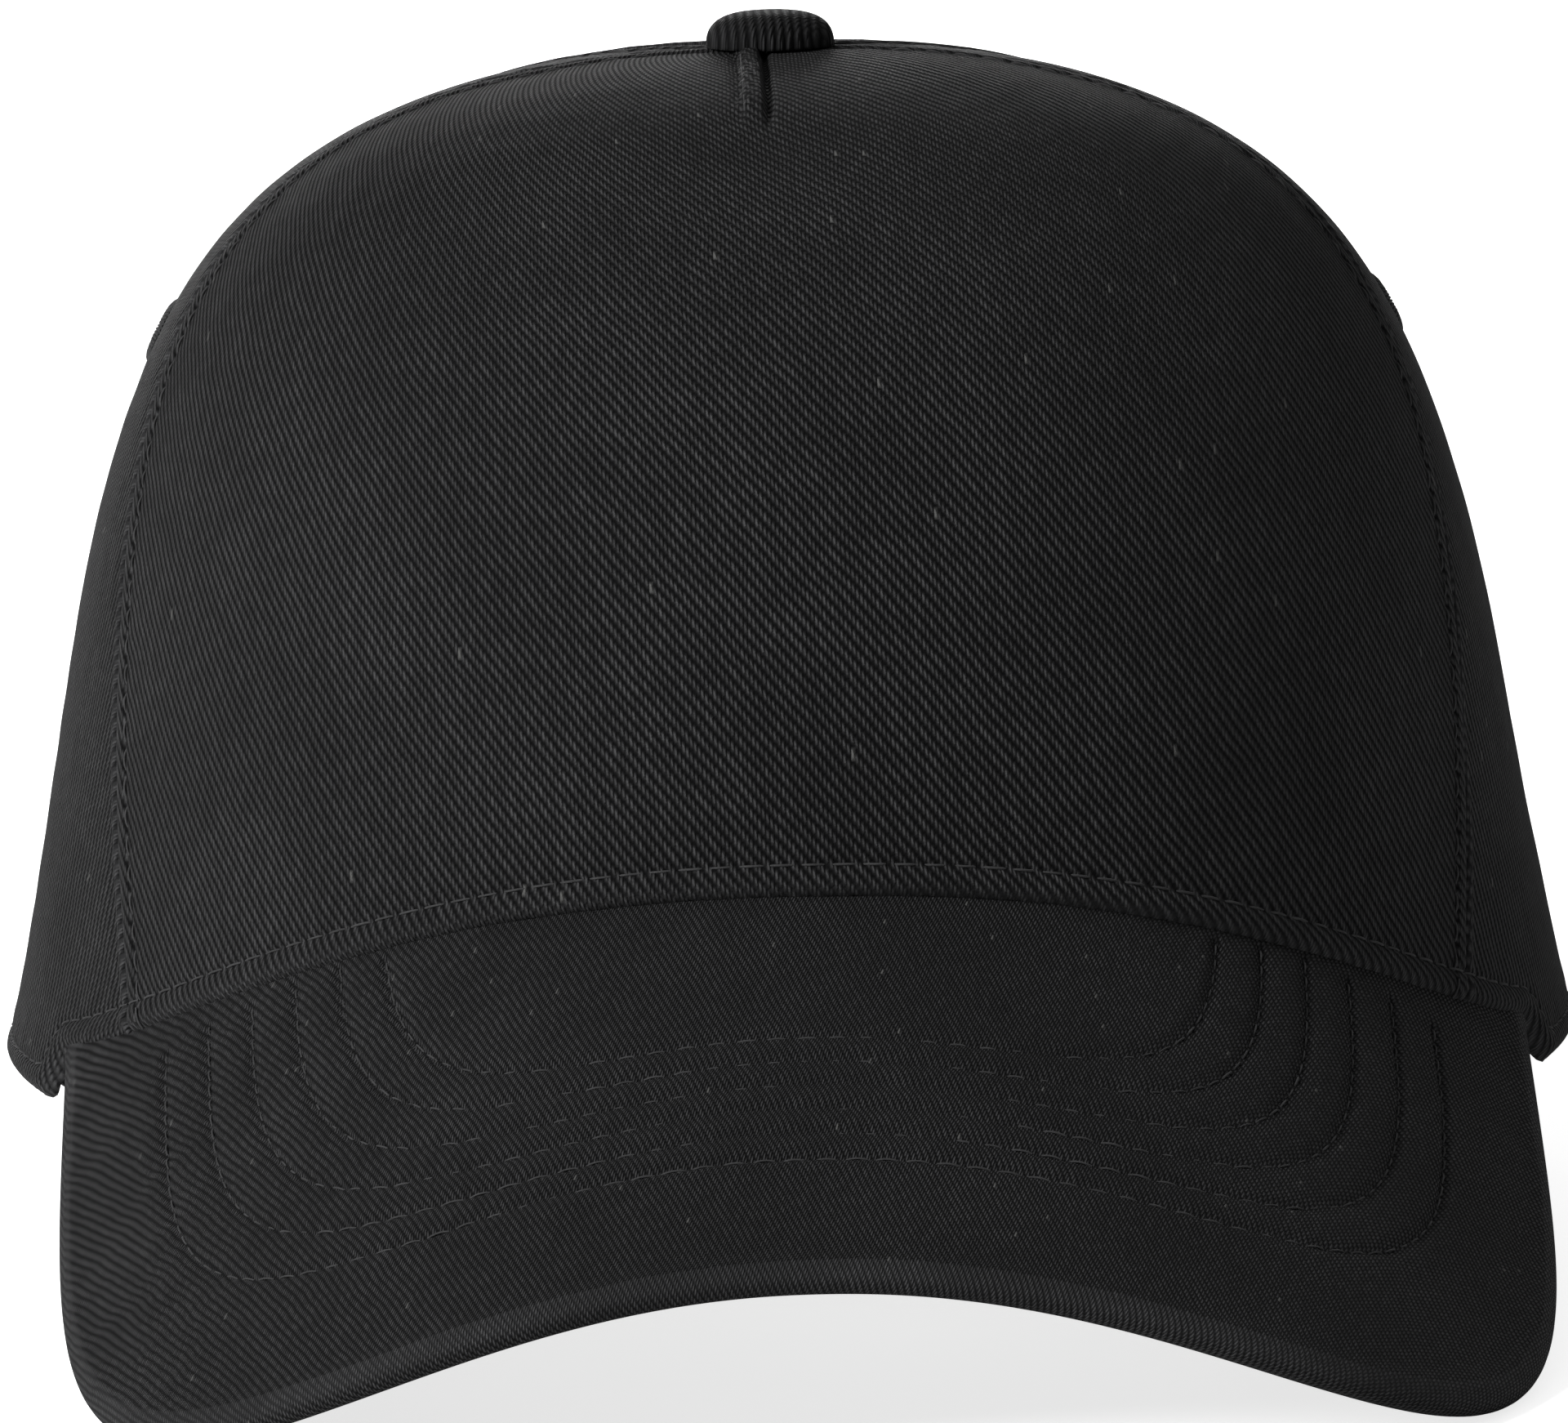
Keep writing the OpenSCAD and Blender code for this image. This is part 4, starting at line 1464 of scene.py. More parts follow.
    def level_line(self, dist: Array, want: float, axis: int, skip: float) -> tuple[Array, Array]:
        """Follows the places that lie a distance inside an edge.

        Args:
            dist: Distances from the edge over the panel.
            want: The distance wanted.
            axis: 0 to look along the columns, and 1 to look up the rows.
            skip: Share of the line that is left out at its end.

        Returns:
            Points on the built outer face, and directions out of it.
        """
        pts, outs = self.outer, self.out
        if axis == 0:
            pts, outs = pts.transpose(1, 0, 2), outs.transpose(1, 0, 2)
        dd = dist if axis == 1 else dist.T
        line, out = [], []
        for k in range(int(len(dd) * (1 - skip))):
            row = dd[k]
            half = row[: len(row) // 2] if row[0] < row[-1] else row[len(row) // 2 :]
            base = 0 if row[0] < row[-1] else len(row) // 2
            i = int(np.argmin(np.abs(half - want))) + base
            j = min(max(i + (1 if (row[i] < want) == (row[0] < row[-1]) else -1), 0), len(row) - 1)
            s = 0.0 if abs(row[j] - row[i]) < 1e-9 else float(
                np.clip((want - row[i]) / (row[j] - row[i]), 0, 1)
            )
            if abs(mix(row[i], row[j], s) - want) < 0.4 * MM:
                line.append(mix(pts[k, i], pts[k, j], s))
                out.append(outs[k, i])
        return np.array(line), np.array(out)


def spread_even(line: Array, out: Array) -> tuple[Array, Array]:
    """Smooths a followed line, so that its stitches don't jitter.

    Args:
        line: Points along the line, which are changed.
        out: Directions out of the cloth there.

    Returns:
        The line and its directions.
    """
    for _ in range(3):
        line[1:-1] = 0.25 * line[:-2] + 0.5 * line[1:-1] + 0.25 * line[2:]
    return line, out


@dataclass
class Tailor:
    """What every sub-assembly is built with."""

    wardrobe: Wardrobe
    seamstress: Seamstress
    count: int = 0

    def put(
        self, piece: bpy.types.Object, body: str, slot: str, finish: str | None, *nodes: str
    ) -> bpy.types.Object:
        """Dresses a finished piece and puts it on the frame.

        Args:
            piece: The piece.
            body: The body it moves with.
            slot: Not used.
            finish: Name of the finish, or None where it has one already.
            nodes: The frame's nodes that it stands for.

        Returns:
            The piece.
        """
        if finish is not None:
            self.wardrobe.dress(piece, finish)
        if nodes:
            piece.name = nodes[0] + "_sewn"
        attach(piece, body)
        if nodes:
            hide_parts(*nodes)
        self.count += 1
        LOG.info("%s rides on %s with %d faces", piece.name, body, len(piece.data.polygons))
        return piece

    def stitch(self, name: str, body: str, runs: Sequence[StitchRun], *sizes: float, **more: float) -> None:
        """Sews runs of stitches and puts them on the frame.

        Args:
            name: Name of the piece.
            body: The body it moves with.
            runs: The runs.
            sizes: Length and thickness of a stitch, then how far it bows and sinks and how uneven it is.
            more: The seed.
        """
        self.put(self.seamstress.sew(name, runs, *sizes, **more), body, "thread", None)


@dataclass
class Crown:
    """The five panels with their seams, tapes, backing, eyelets and button."""

    tailor: Tailor
    front_cols: int = 222
    front_rows: int = 195
    side_cols: int = 190
    back_cols: tuple[int, int] = (70, 100)
    stitch_pitch: float = 3.5 * MM
    stitch_long: float = 2.5 * MM
    thread: float = 0.27 * MM
    tape_w: float = 10 * MM
    tape_t: float = 0.8 * MM
    layer_d: float = 1.45 * MM
    layer_low: float = 3.4 * MM
    backing_low: float = 7.5 * MM
    backing_t: float = 1.0 * MM
    tape_top: float = 18 * MM
    eyelet_angles: tuple[float, float] = (8.0, 63.0)
    eyelet_place: float = 0.5
    eyelet_r: float = 4.2 * MM
    hole_r: float = 1.8 * MM
    button_r: float = 7.7 * MM
    button_h: float = 4.2 * MM
    button_low: float = 119.85 * MM
    dart_long: float = 44 * MM
    dart_stitches: int = 40
    dart_cols: int = 24
    tape_stitch_pitch: float = 3.2 * MM
    round_eyelet: int = 46
    ring_low: float = 0.25 * MM
    ring_h: float = 0.75 * MM
    ring_turns: int = 48
    runs: list[StitchRun] = field(default_factory=list)

    def seam_run(self, panel: Panel, dist: Array, want: float, axis: int, skip: float = 0.03) -> None:
        """Lays a row of stitches a distance inside a panel's edge."""
        line, out = spread_even(*panel.level_line(dist, want, axis, skip))
        self.runs.append(StitchRun.on_line(line, out, self.stitch_pitch, 0.05 * MM))

    def dart(self, panel: Panel) -> Array:
        """Works out the dart that shapes the front panel under the button.

        Args:
            panel: The front panel.

        Returns:
            Distances out of its plain face.
        """
        x = panel.plain[..., 0]
        r = np.hypot(x, panel.plain[..., 1])
        on = (1 - ease(0.8 * self.dart_long, self.dart_long, r)) * (panel.plain[..., 1] < 0)
        pucker = 0.5 + 0.5 * np.cos((r + 0.5 * x) * 2 * np.pi / (2.4 * MM))
        fold = (0.62 + 0.26 * pucker) * MM * ease(-4.3 * MM, -3.3 * MM, x) * (
            1 - ease(-1.7 * MM, -1.1 * MM, x)
        )
        groove = -0.95 * MM * bump_at(x, -0.9 * MM, 0.5 * MM) - 0.35 * MM * bump_at(x, -4.3 * MM, 0.5 * MM)
        dimple = -0.7 * MM * np.exp(
            -(((x + 1.2 * MM) / (7 * MM)) ** 2) - ((r - 1.12 * self.dart_long) / (9 * MM)) ** 2
        )
        return on * (fold + groove) + dimple * (panel.plain[..., 1] < 0)

    def front(self) -> None:
        """Builds the front panel with its dart."""

        def line(s: Array, t: Array) -> Array:
            """Returns the azimuth of a column."""
            return mix(CROWN.seam(t) - 180, -CROWN.seam(t), s)

        cols = dense_ends(self.front_cols)
        extra = 0.5 + np.linspace(-0.03, 0.03, self.dart_cols)
        cols = np.unique(np.concatenate([cols, extra]))
        panel = Panel("front_panel", line, cols, dense_start(self.front_rows), "topped", "topped", seed=11)
        panel.lay()
        made = panel.build(self.dart(panel))
        self.seam_run(panel, panel.left, panel.stitch_w, 0)
        self.seam_run(panel, panel.right, panel.stitch_w, 0)
        self.seam_run(panel, panel.hem, panel.hem_w, 1, 0.0)
        stops = np.linspace(10 * MM, 0.86 * self.dart_long, self.dart_stitches)
        high = np.array([CROWN.place_of_radius(r, -90.0, 0.3) for r in stops])
        front = np.full(self.dart_stitches, -90.0)
        spine = CROWN.point(front, high) + np.array([-3.7 * MM, 0, 0])
        self.runs.append(StitchRun.on_line(spine, CROWN.outward(front, high), 3.2 * MM, 0.3 * MM))
        self.tailor.put(made, "cap", "twill", "front twill", "front_panel")

    def side(self, left: bool) -> None:
        """Builds a side panel.

        Args:
            left: Whether it is the one on the -X side.
        """

        def line(s: Array, t: Array) -> Array:
            """Returns the azimuth of a column."""
            near, far = -CROWN.seam(t), CROWN.back_seam_a
            return mix(180 - far, 180 - near, s) if left else mix(near, far, s)

        name = "side_panel_left" if left else "side_panel_right"
        middle = 172.0 if left else 8.0
        kinds = ("topped", "seam") if left else ("seam", "topped")
        holes = [(middle, self.eyelet_place)]
        panel = Panel(
            name,
            line,
            dense_ends(self.side_cols),
            dense_start(self.front_rows),
            *kinds,
            seed=23 + left,
            holes=holes,
            centre_a=180.0 if left else 0.0,
        )
        panel.lay()
        made = panel.build()
        back = panel.left if left else panel.right
        self.seam_run(panel, back, panel.stitch_w, 0)
        self.seam_run(panel, panel.hem, panel.hem_w, 1, 0.0)
        finish = "left side twill" if left else "right side twill"
        self.tailor.put(made, "cap", "twill", finish, name)

    def back(self, left: bool) -> None:
        """Builds a back panel, cut away round the opening.

        Args:
            left: Whether it is the one on the -X side.
        """
        few, many = self.back_cols
        turn = np.linspace(0.0, np.pi / 2, many)
        across = RIM.open_half_a * np.cos(turn) ** (2 / RIM.open_power)
        level = np.linspace(CROWN.back_seam_a, 90 - RIM.open_half_a, few, endpoint=False)
        level[1:4] = level[0] + np.array([0.08, 0.2, 0.4])
        angles = np.concatenate([level, 90 - across])
        cols = (angles - CROWN.back_seam_a) / (90 - CROWN.back_seam_a)
        cols = np.unique(np.concatenate([cols, 1 - np.array([0.002, 0.005, 0.01, 0.02])]))

        def line(s: Array, t: Array) -> Array:
            """Returns the azimuth of a column."""
            a = mix(CROWN.back_seam_a, 90.0, s)
            return 180 - a if left else a + 0 * t

        name = "back_panel_left" if left else "back_panel_right"
        holes = [(117.0 if left else 63.0, self.eyelet_place)]
        cols = cols[::-1] if left else cols
        panel = Panel(
            name,
            line,
            cols,
            dense_start(self.front_rows, 0.6),
            "topped",
            "topped",
            seed=31 + left,
            holes=holes,
            centre_a=90.0,
        )
        panel.lay()
        made = panel.build()
        self.seam_run(panel, panel.left, panel.stitch_w, 0)
        self.seam_run(panel, panel.right, panel.stitch_w, 0)
        self.tailor.put(made, "cap", "twill", "back twill", name)

    def strip(self, name: str, middle: Callable[[Array], Array]) -> bpy.types.Object:
        """Makes a seam tape that runs up inside a seam.

        Args:
            name: Name of the piece.
            middle: Azimuth of the tape's middle at a place up the wall.

        Returns:
            The mesh object.
        """
        low = RIM.settle(lambda s, t: middle(t), np.zeros(1), self.layer_d, self.layer_low)[0]
        t = np.linspace(low, CROWN.place_of_radius(self.tape_top), 110)
        s = np.linspace(-1, 1, 21)
        u0 = middle(t)
        half = np.degrees(self.tape_w / 2 / np.maximum(CROWN.wall_r(t), self.tape_w))
        u = u0[None, :] + s[:, None] * half[None, :]
        tt = np.broadcast_to(t, u.shape)
        ridge = 0.18 * MM * (
            bump_at(s, 0.0, 0.2) + 0.6 * bump_at(np.abs(s), 0.62, 0.12) - bump_at(np.abs(s), 0.8, 0.07)
        )
        near = CROWN.point(u, tt, self.layer_d)
        far = CROWN.point(u, tt, self.layer_d + self.tape_t) - ridge[:, None, None] * CROWN.outward(u, tt)
        line = far[::-1]
        for k in (4, 16):
            self.inner_runs.append(
                StitchRun.on_line(line[k], -CROWN.outward(u, tt)[::-1][k], self.tape_stitch_pitch, 0.02 * MM)
            )
        return slab(name, near, far)

    def tapes(self) -> None:
        """Builds the five seam tapes."""
        self.inner_runs: list[StitchRun] = []
        middles: dict[str, Callable[[Array], Array]] = {
            "front_tape_right": lambda t: -CROWN.seam(t),
            "front_tape_left": lambda t: 180 + CROWN.seam(t),
            "side_tape_right": lambda t: CROWN.back_seam_a + 0 * t,
            "side_tape_left": lambda t: 180 - CROWN.back_seam_a + 0 * t,
            "back_tape": lambda t: 90.0 + 0 * t,
        }
        for name, middle in middles.items():
            self.tailor.put(self.strip(name, middle), "cap", "tape", "seam tape", name)
        self.tailor.stitch("tape_stitches", "cap", self.inner_runs, 2.2 * MM, 0.3 * MM, seed=8)

    def backing(self) -> None:
        """Builds the stiff backing behind the front panel."""

        def line(s: Array, t: Array) -> Array:
            """Finds the azimuth of a column of the backing, clear of the tapes.

            Args:
                s: Share across the backing.
                t: Places up the wall.

            Returns:
                Azimuths.
            """
            clear = np.degrees((self.tape_w / 2 + 1 * MM) / np.maximum(CROWN.wall_r(t), self.tape_w))
            seam = CROWN.seam(t) + clear
            return mix(seam - 180, -seam, s)

        s = np.linspace(0, 1, 70)
        low = RIM.settle(line, s, self.layer_d, self.backing_low)
        t = mix(low[:, None], CROWN.place_of_radius(self.tape_top + 2 * MM), np.linspace(0, 1, 60)[None, :])
        u = line(np.broadcast_to(s[:, None], t.shape), t)
        made = slab(
            "front_backing", CROWN.point(u, t, self.layer_d), CROWN.point(u, t, self.layer_d + self.backing_t)
        )
        self.tailor.put(made, "cap", "buckram", "stiff backing", "front_backing")

    def eyelets(self) -> None:
        """Builds the four sewn eyelets."""
        rings, runs = [], []
        turn = np.linspace(0, 2 * np.pi, 17)
        for k, a in enumerate([*self.eyelet_angles, *(180 - a for a in self.eyelet_angles)]):
            spot = CROWN.point(np.array(a), np.array(self.eyelet_place))
            out = CROWN.outward(np.array(a), np.array(self.eyelet_place))
            east = unit(np.cross(np.array([0, 0, 1.0]), out))
            north = np.cross(out, east)
            middle = (self.eyelet_r + self.hole_r) / 2
            wide = (self.eyelet_r - self.hole_r) / 2 * 0.86
            profile = np.stack(
                [middle + wide * np.cos(turn), -self.ring_low + self.ring_h * np.sin(turn)], axis=-1
            )[::-1]
            ring = turned_shell(f"ring{k}", profile, self.ring_turns, False)
            seat = Matrix([[*east], [*north], [*out]]).transposed().to_4x4()
            seat.translation = Vector(spot)
            ring.data.transform(seat)
            rings.append(merge_doubles(ring))
            around = np.linspace(0, 2 * np.pi, self.round_eyelet, endpoint=False)
            spoke = np.cos(around)[:, None] * east + np.sin(around)[:, None] * north
            runs.append(
                StitchRun(spot + middle * spoke + 0.42 * MM * out, spoke, np.broadcast_to(out, spoke.shape))
            )
        made = self.tailor.wardrobe.dress(join_pieces("eyelets", rings), "sewing thread")
        self.tailor.put(made, "cap", "thread", None, "eyelets")
        long = 1.08 * (self.eyelet_r - self.hole_r)
        self.tailor.stitch("eyelet_threads", "cap", runs, long, 0.42 * MM, 0.12 * MM, 0.5 * MM, 0.06, seed=5)

    def button(self) -> None:
        """Builds the covered button and dresses its metal."""
        a = np.radians(np.linspace(0, 90, 34))
        r, h = self.button_r * np.cos(a) ** 0.62, self.button_h * np.sin(a) ** 0.8
        outer = np.stack([r, self.button_low + h], axis=-1)
        inside = np.stack(
            [np.maximum(r - 0.5 * MM, 0), self.button_low + np.maximum(h - 0.5 * MM, 0.0)], axis=-1
        )
        made = merge_doubles(
            turned_shell("button_cover", np.concatenate([outer, inside[::-1][1:], outer[:1]]), 96, False)
        )
        wave = np.array([v.co for v in made.data.vertices])
        angle = np.arctan2(wave[:, 1], wave[:, 0])
        low = 1 - np.clip((wave[:, 2] - self.button_low) / (0.6 * self.button_h), 0, 1)
        pleat = 1 - 0.012 * low * (0.5 + 0.5 * np.sin(14 * angle + 2 * np.sin(3 * angle)))
        wave[:, :2] *= pleat[:, None]
        made.data.vertices.foreach_set("co", wave.astype(np.float32).ravel())
        made.data.update()
        self.tailor.put(made, "cap", "twill", "button twill", "button_cover")
        for node in ("button_shell", "button_plate", "button_tack"):
            self.tailor.wardrobe.dress(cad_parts[node], "plated steel")

    def binding(self) -> None:
        """Builds the tape that binds the edge of the back opening."""
        a = np.radians(np.linspace(1.5, 178.5, 180))
        deg = RIM.open_half_a * np.cos(a)
        z = RIM.opening(deg)
        t = CROWN.place(90 + deg, z)
        mid = CROWN.point(90 + deg, t, 0.0)
        out = CROWN.outward(90 + deg, t)
        along = unit(np.gradient(mid, axis=0))
        inward = unit(np.cross(out, along))
        wide, face = 2.0 * MM, 0.35 * MM
        rim = 24
        spin = np.linspace(0, 2 * np.pi, rim, endpoint=False)
        ex = np.sign(np.cos(spin)) * np.abs(np.cos(spin)) ** 0.55
        ez = np.sign(np.sin(spin)) * np.abs(np.sin(spin)) ** 0.8
        half_w, half_t = (wide - 0.1 * MM) / 2, (CROWN.cloth_t + 2 * face) / 2
        centre = mid + (0.1 * MM + half_w) * inward - CROWN.cloth_t / 2 * out
        across, over = half_w * ex[:, None, None] * inward[None], half_t * ez[:, None, None] * out[None]
        grid = centre[None] + across + over
        run = lengths(centre[:, None, :], 0)[:, 0]
        uv = np.stack(
            [
                np.broadcast_to(spin[:, None] * 1.4, grid.shape[:2]),
                np.broadcast_to(run[None] / MM, grid.shape[:2]),
            ],
            axis=-1,
        )
        body = make_mesh("binding_body", grid, grid_faces(rim, len(a), closed=True, flip=True), uv)
        ends = []
        for k, j in enumerate((0, -1)):
            strips = [[i, i + 1, rim - 2 - i, rim - 1 - i] for i in range(rim // 2 - 1)]
            quads = strips if k else [[q[1], q[0], q[3], q[2]] for q in strips]
            ends.append(make_mesh(f"binding_end{k}", grid[:, j], np.array(quads)))
        made = merge_doubles(join_pieces("opening_binding", [body, *ends]))
        edge_line = centre - 0.3 * half_w * inward
        for sign in (1, -1):
            self.runs.append(StitchRun.on_line(edge_line + sign * half_t * out, sign * out, 3.0 * MM))
        self.tailor.put(made, "cap", "tape", "binding tape", "opening_binding")

    def build(self) -> None:
        """Builds the whole crown."""
        self.front()
        for left in (False, True):
            self.side(left)
            self.back(left)
        self.tapes()
        self.backing()
        self.eyelets()
        self.button()
        self.binding()
        self.tailor.stitch("crown_stitches", "cap", self.runs, self.stitch_long, self.thread, seed=4)


@dataclass
class Lining:
    """The sweatband with its foam and label."""

    tailor: Tailor
    first_a: float = -240.0
    last_a: float = 60.0
    depth: float = 4.15 * MM
    thick: float = 0.8 * MM
    foot_low: float = 0.5 * MM
    tall: float = 30 * MM
    fold_d: float = 3.5 * MM
    fold_h: float = 2.5 * MM

    def ring(self, u: Array, d: float, h: float) -> Array:
        """Returns points at a depth and a height above the rim."""
        return RIM.point(u, d, np.full(np.shape(u), h))

    def band(self) -> None:
        """Builds the sweatband, folded at its foot, with a fine roll at its top."""
        u = np.linspace(self.first_a, self.last_a, 420)
        low, high = self.foot_low, self.foot_low + self.tall
        inner_d, fold_top = self.depth + self.thick, self.foot_low + self.fold_h
        rows: list[tuple[float, float]] = []
        for h in np.linspace(low + 0.6 * MM, high - 0.5 * MM, 46):
            x = (h - low) / self.tall
            hollow = 0.18 * MM * math.sin(math.pi * min(1, x / 0.86))
            dent = 0.22 * MM * (bump_at(x, 0.1, 0.015) + bump_at(x, 0.86, 0.015)) - hollow
            rows.append((inner_d - dent, float(h)))
        rows += [
            (inner_d - 0.3 * MM, high - 0.1 * MM),
            (self.depth + 0.2 * MM, high - 0.1 * MM),
            (self.depth, high - 0.5 * MM),
        ]
        rows += [(self.depth, float(h)) for h in np.linspace(high - 2 * MM, fold_top + 0.5 * MM, 14)]
        rows += [
            (self.depth - 0.2 * MM, fold_top),
            (self.fold_d + 0.1 * MM, fold_top),
            (self.fold_d, fold_top - 0.4 * MM),
            (self.fold_d, low + 0.5 * MM),
            (self.fold_d + 0.4 * MM, low),
            (inner_d - 0.4 * MM, low),
        ]
        grid = np.stack([self.ring(u, d, h) for d, h in rows], axis=1)
        swell = 0.14 * MM * waves(np.radians(u) * 0.09, 0 * u, 77, 33 * MM)
        outwards = np.stack([np.cos(np.radians(u)), np.sin(np.radians(u)), 0 * u], axis=-1)
        grid[:, 4:40] += swell[:, None, None] * outwards[:, None, :]
        closed = np.concatenate([grid, grid[:, :1]], axis=1)
        uv = np.stack([lengths(closed, 0), lengths(closed, 1)], axis=-1) / MM
        n, m = closed.shape[:2]
        body = make_mesh("band_body", closed, grid_faces(n, m, flip=True), uv)
        ends = []
        for k, j in enumerate((0, -1)):
            ring = grid[j]
            half = len(ring) // 2
            quads = [[i, i + 1, len(ring) - 2 - i, len(ring) - 1 - i] for i in range(half - 1)]
            face = np.array(quads if k == 0 else [q[::-1] for q in quads])
            ends.append(make_mesh(f"band_end{k}", ring, face, uv[j][:-1]))
        made = merge_doubles(join_pieces("sweatband", [body, *ends]))
        self.tailor.put(made, "cap", "sweat_cloth", "sweatband twill", "sweatband")
        runs = []
        for h, d in (
            (low + 0.1 * self.tall, inner_d - 0.15 * MM), (low + 0.86 * self.tall, inner_d - 0.15 * MM)
        ):
            line = self.ring(u, d, h)
            inwards = -outwards
            runs.append(StitchRun.on_line(line, inwards, 3.4 * MM, 0.06 * MM))
        self.tailor.stitch("sweatband_stitches", "cap", runs, 2.5 * MM, 0.34 * MM, seed=6)

    def cushion(self) -> None:
        """Builds the thin foam behind the sweatband's front."""
        u, s = np.linspace(-150, -30, 120), np.linspace(0, 1, 24)
        low, tall, d, t = 3.4 * MM, self.tall - self.fold_h - 3 * MM, 2.7 * MM, 0.9 * MM
        puff = (1 - (2 * s - 1) ** 6) ** 0.5
        near = np.stack(
            [self.ring(u, d + t * 0.5 * (1 - k), low + x * tall) for x, k in zip(s, puff)], axis=1
        )
        far = np.stack([self.ring(u, d + t * 0.5 * (1 + k), low + x * tall) for x, k in zip(s, puff)], axis=1)
        made = slab("sweatband_foam", near, far)
        self.tailor.put(made, "cap", "foam", "open foam", "sweatband_foam")

    def label(self) -> None:
        """Builds the blank care label, which curls a little at its free end."""
        u, s = np.linspace(134, 152, 26), np.linspace(0, 1, 26)
        low, tall, d, t = 6 * MM, 18 * MM, 5.2 * MM, 0.3 * MM
        near = np.stack([self.ring(u, d + 0.5 * MM * (1 - x) ** 3, low + x * tall) for x in s], axis=1)
        far = np.stack([self.ring(u, d + t + 0.5 * MM * (1 - x) ** 3, low + x * tall) for x in s], axis=1)
        self.tailor.put(slab("care_label", near, far), "cap", "label", "satin label", "care_label")

    def build(self) -> None:
        """Builds the lining."""
        self.band()
        self.cushion()
        self.label()


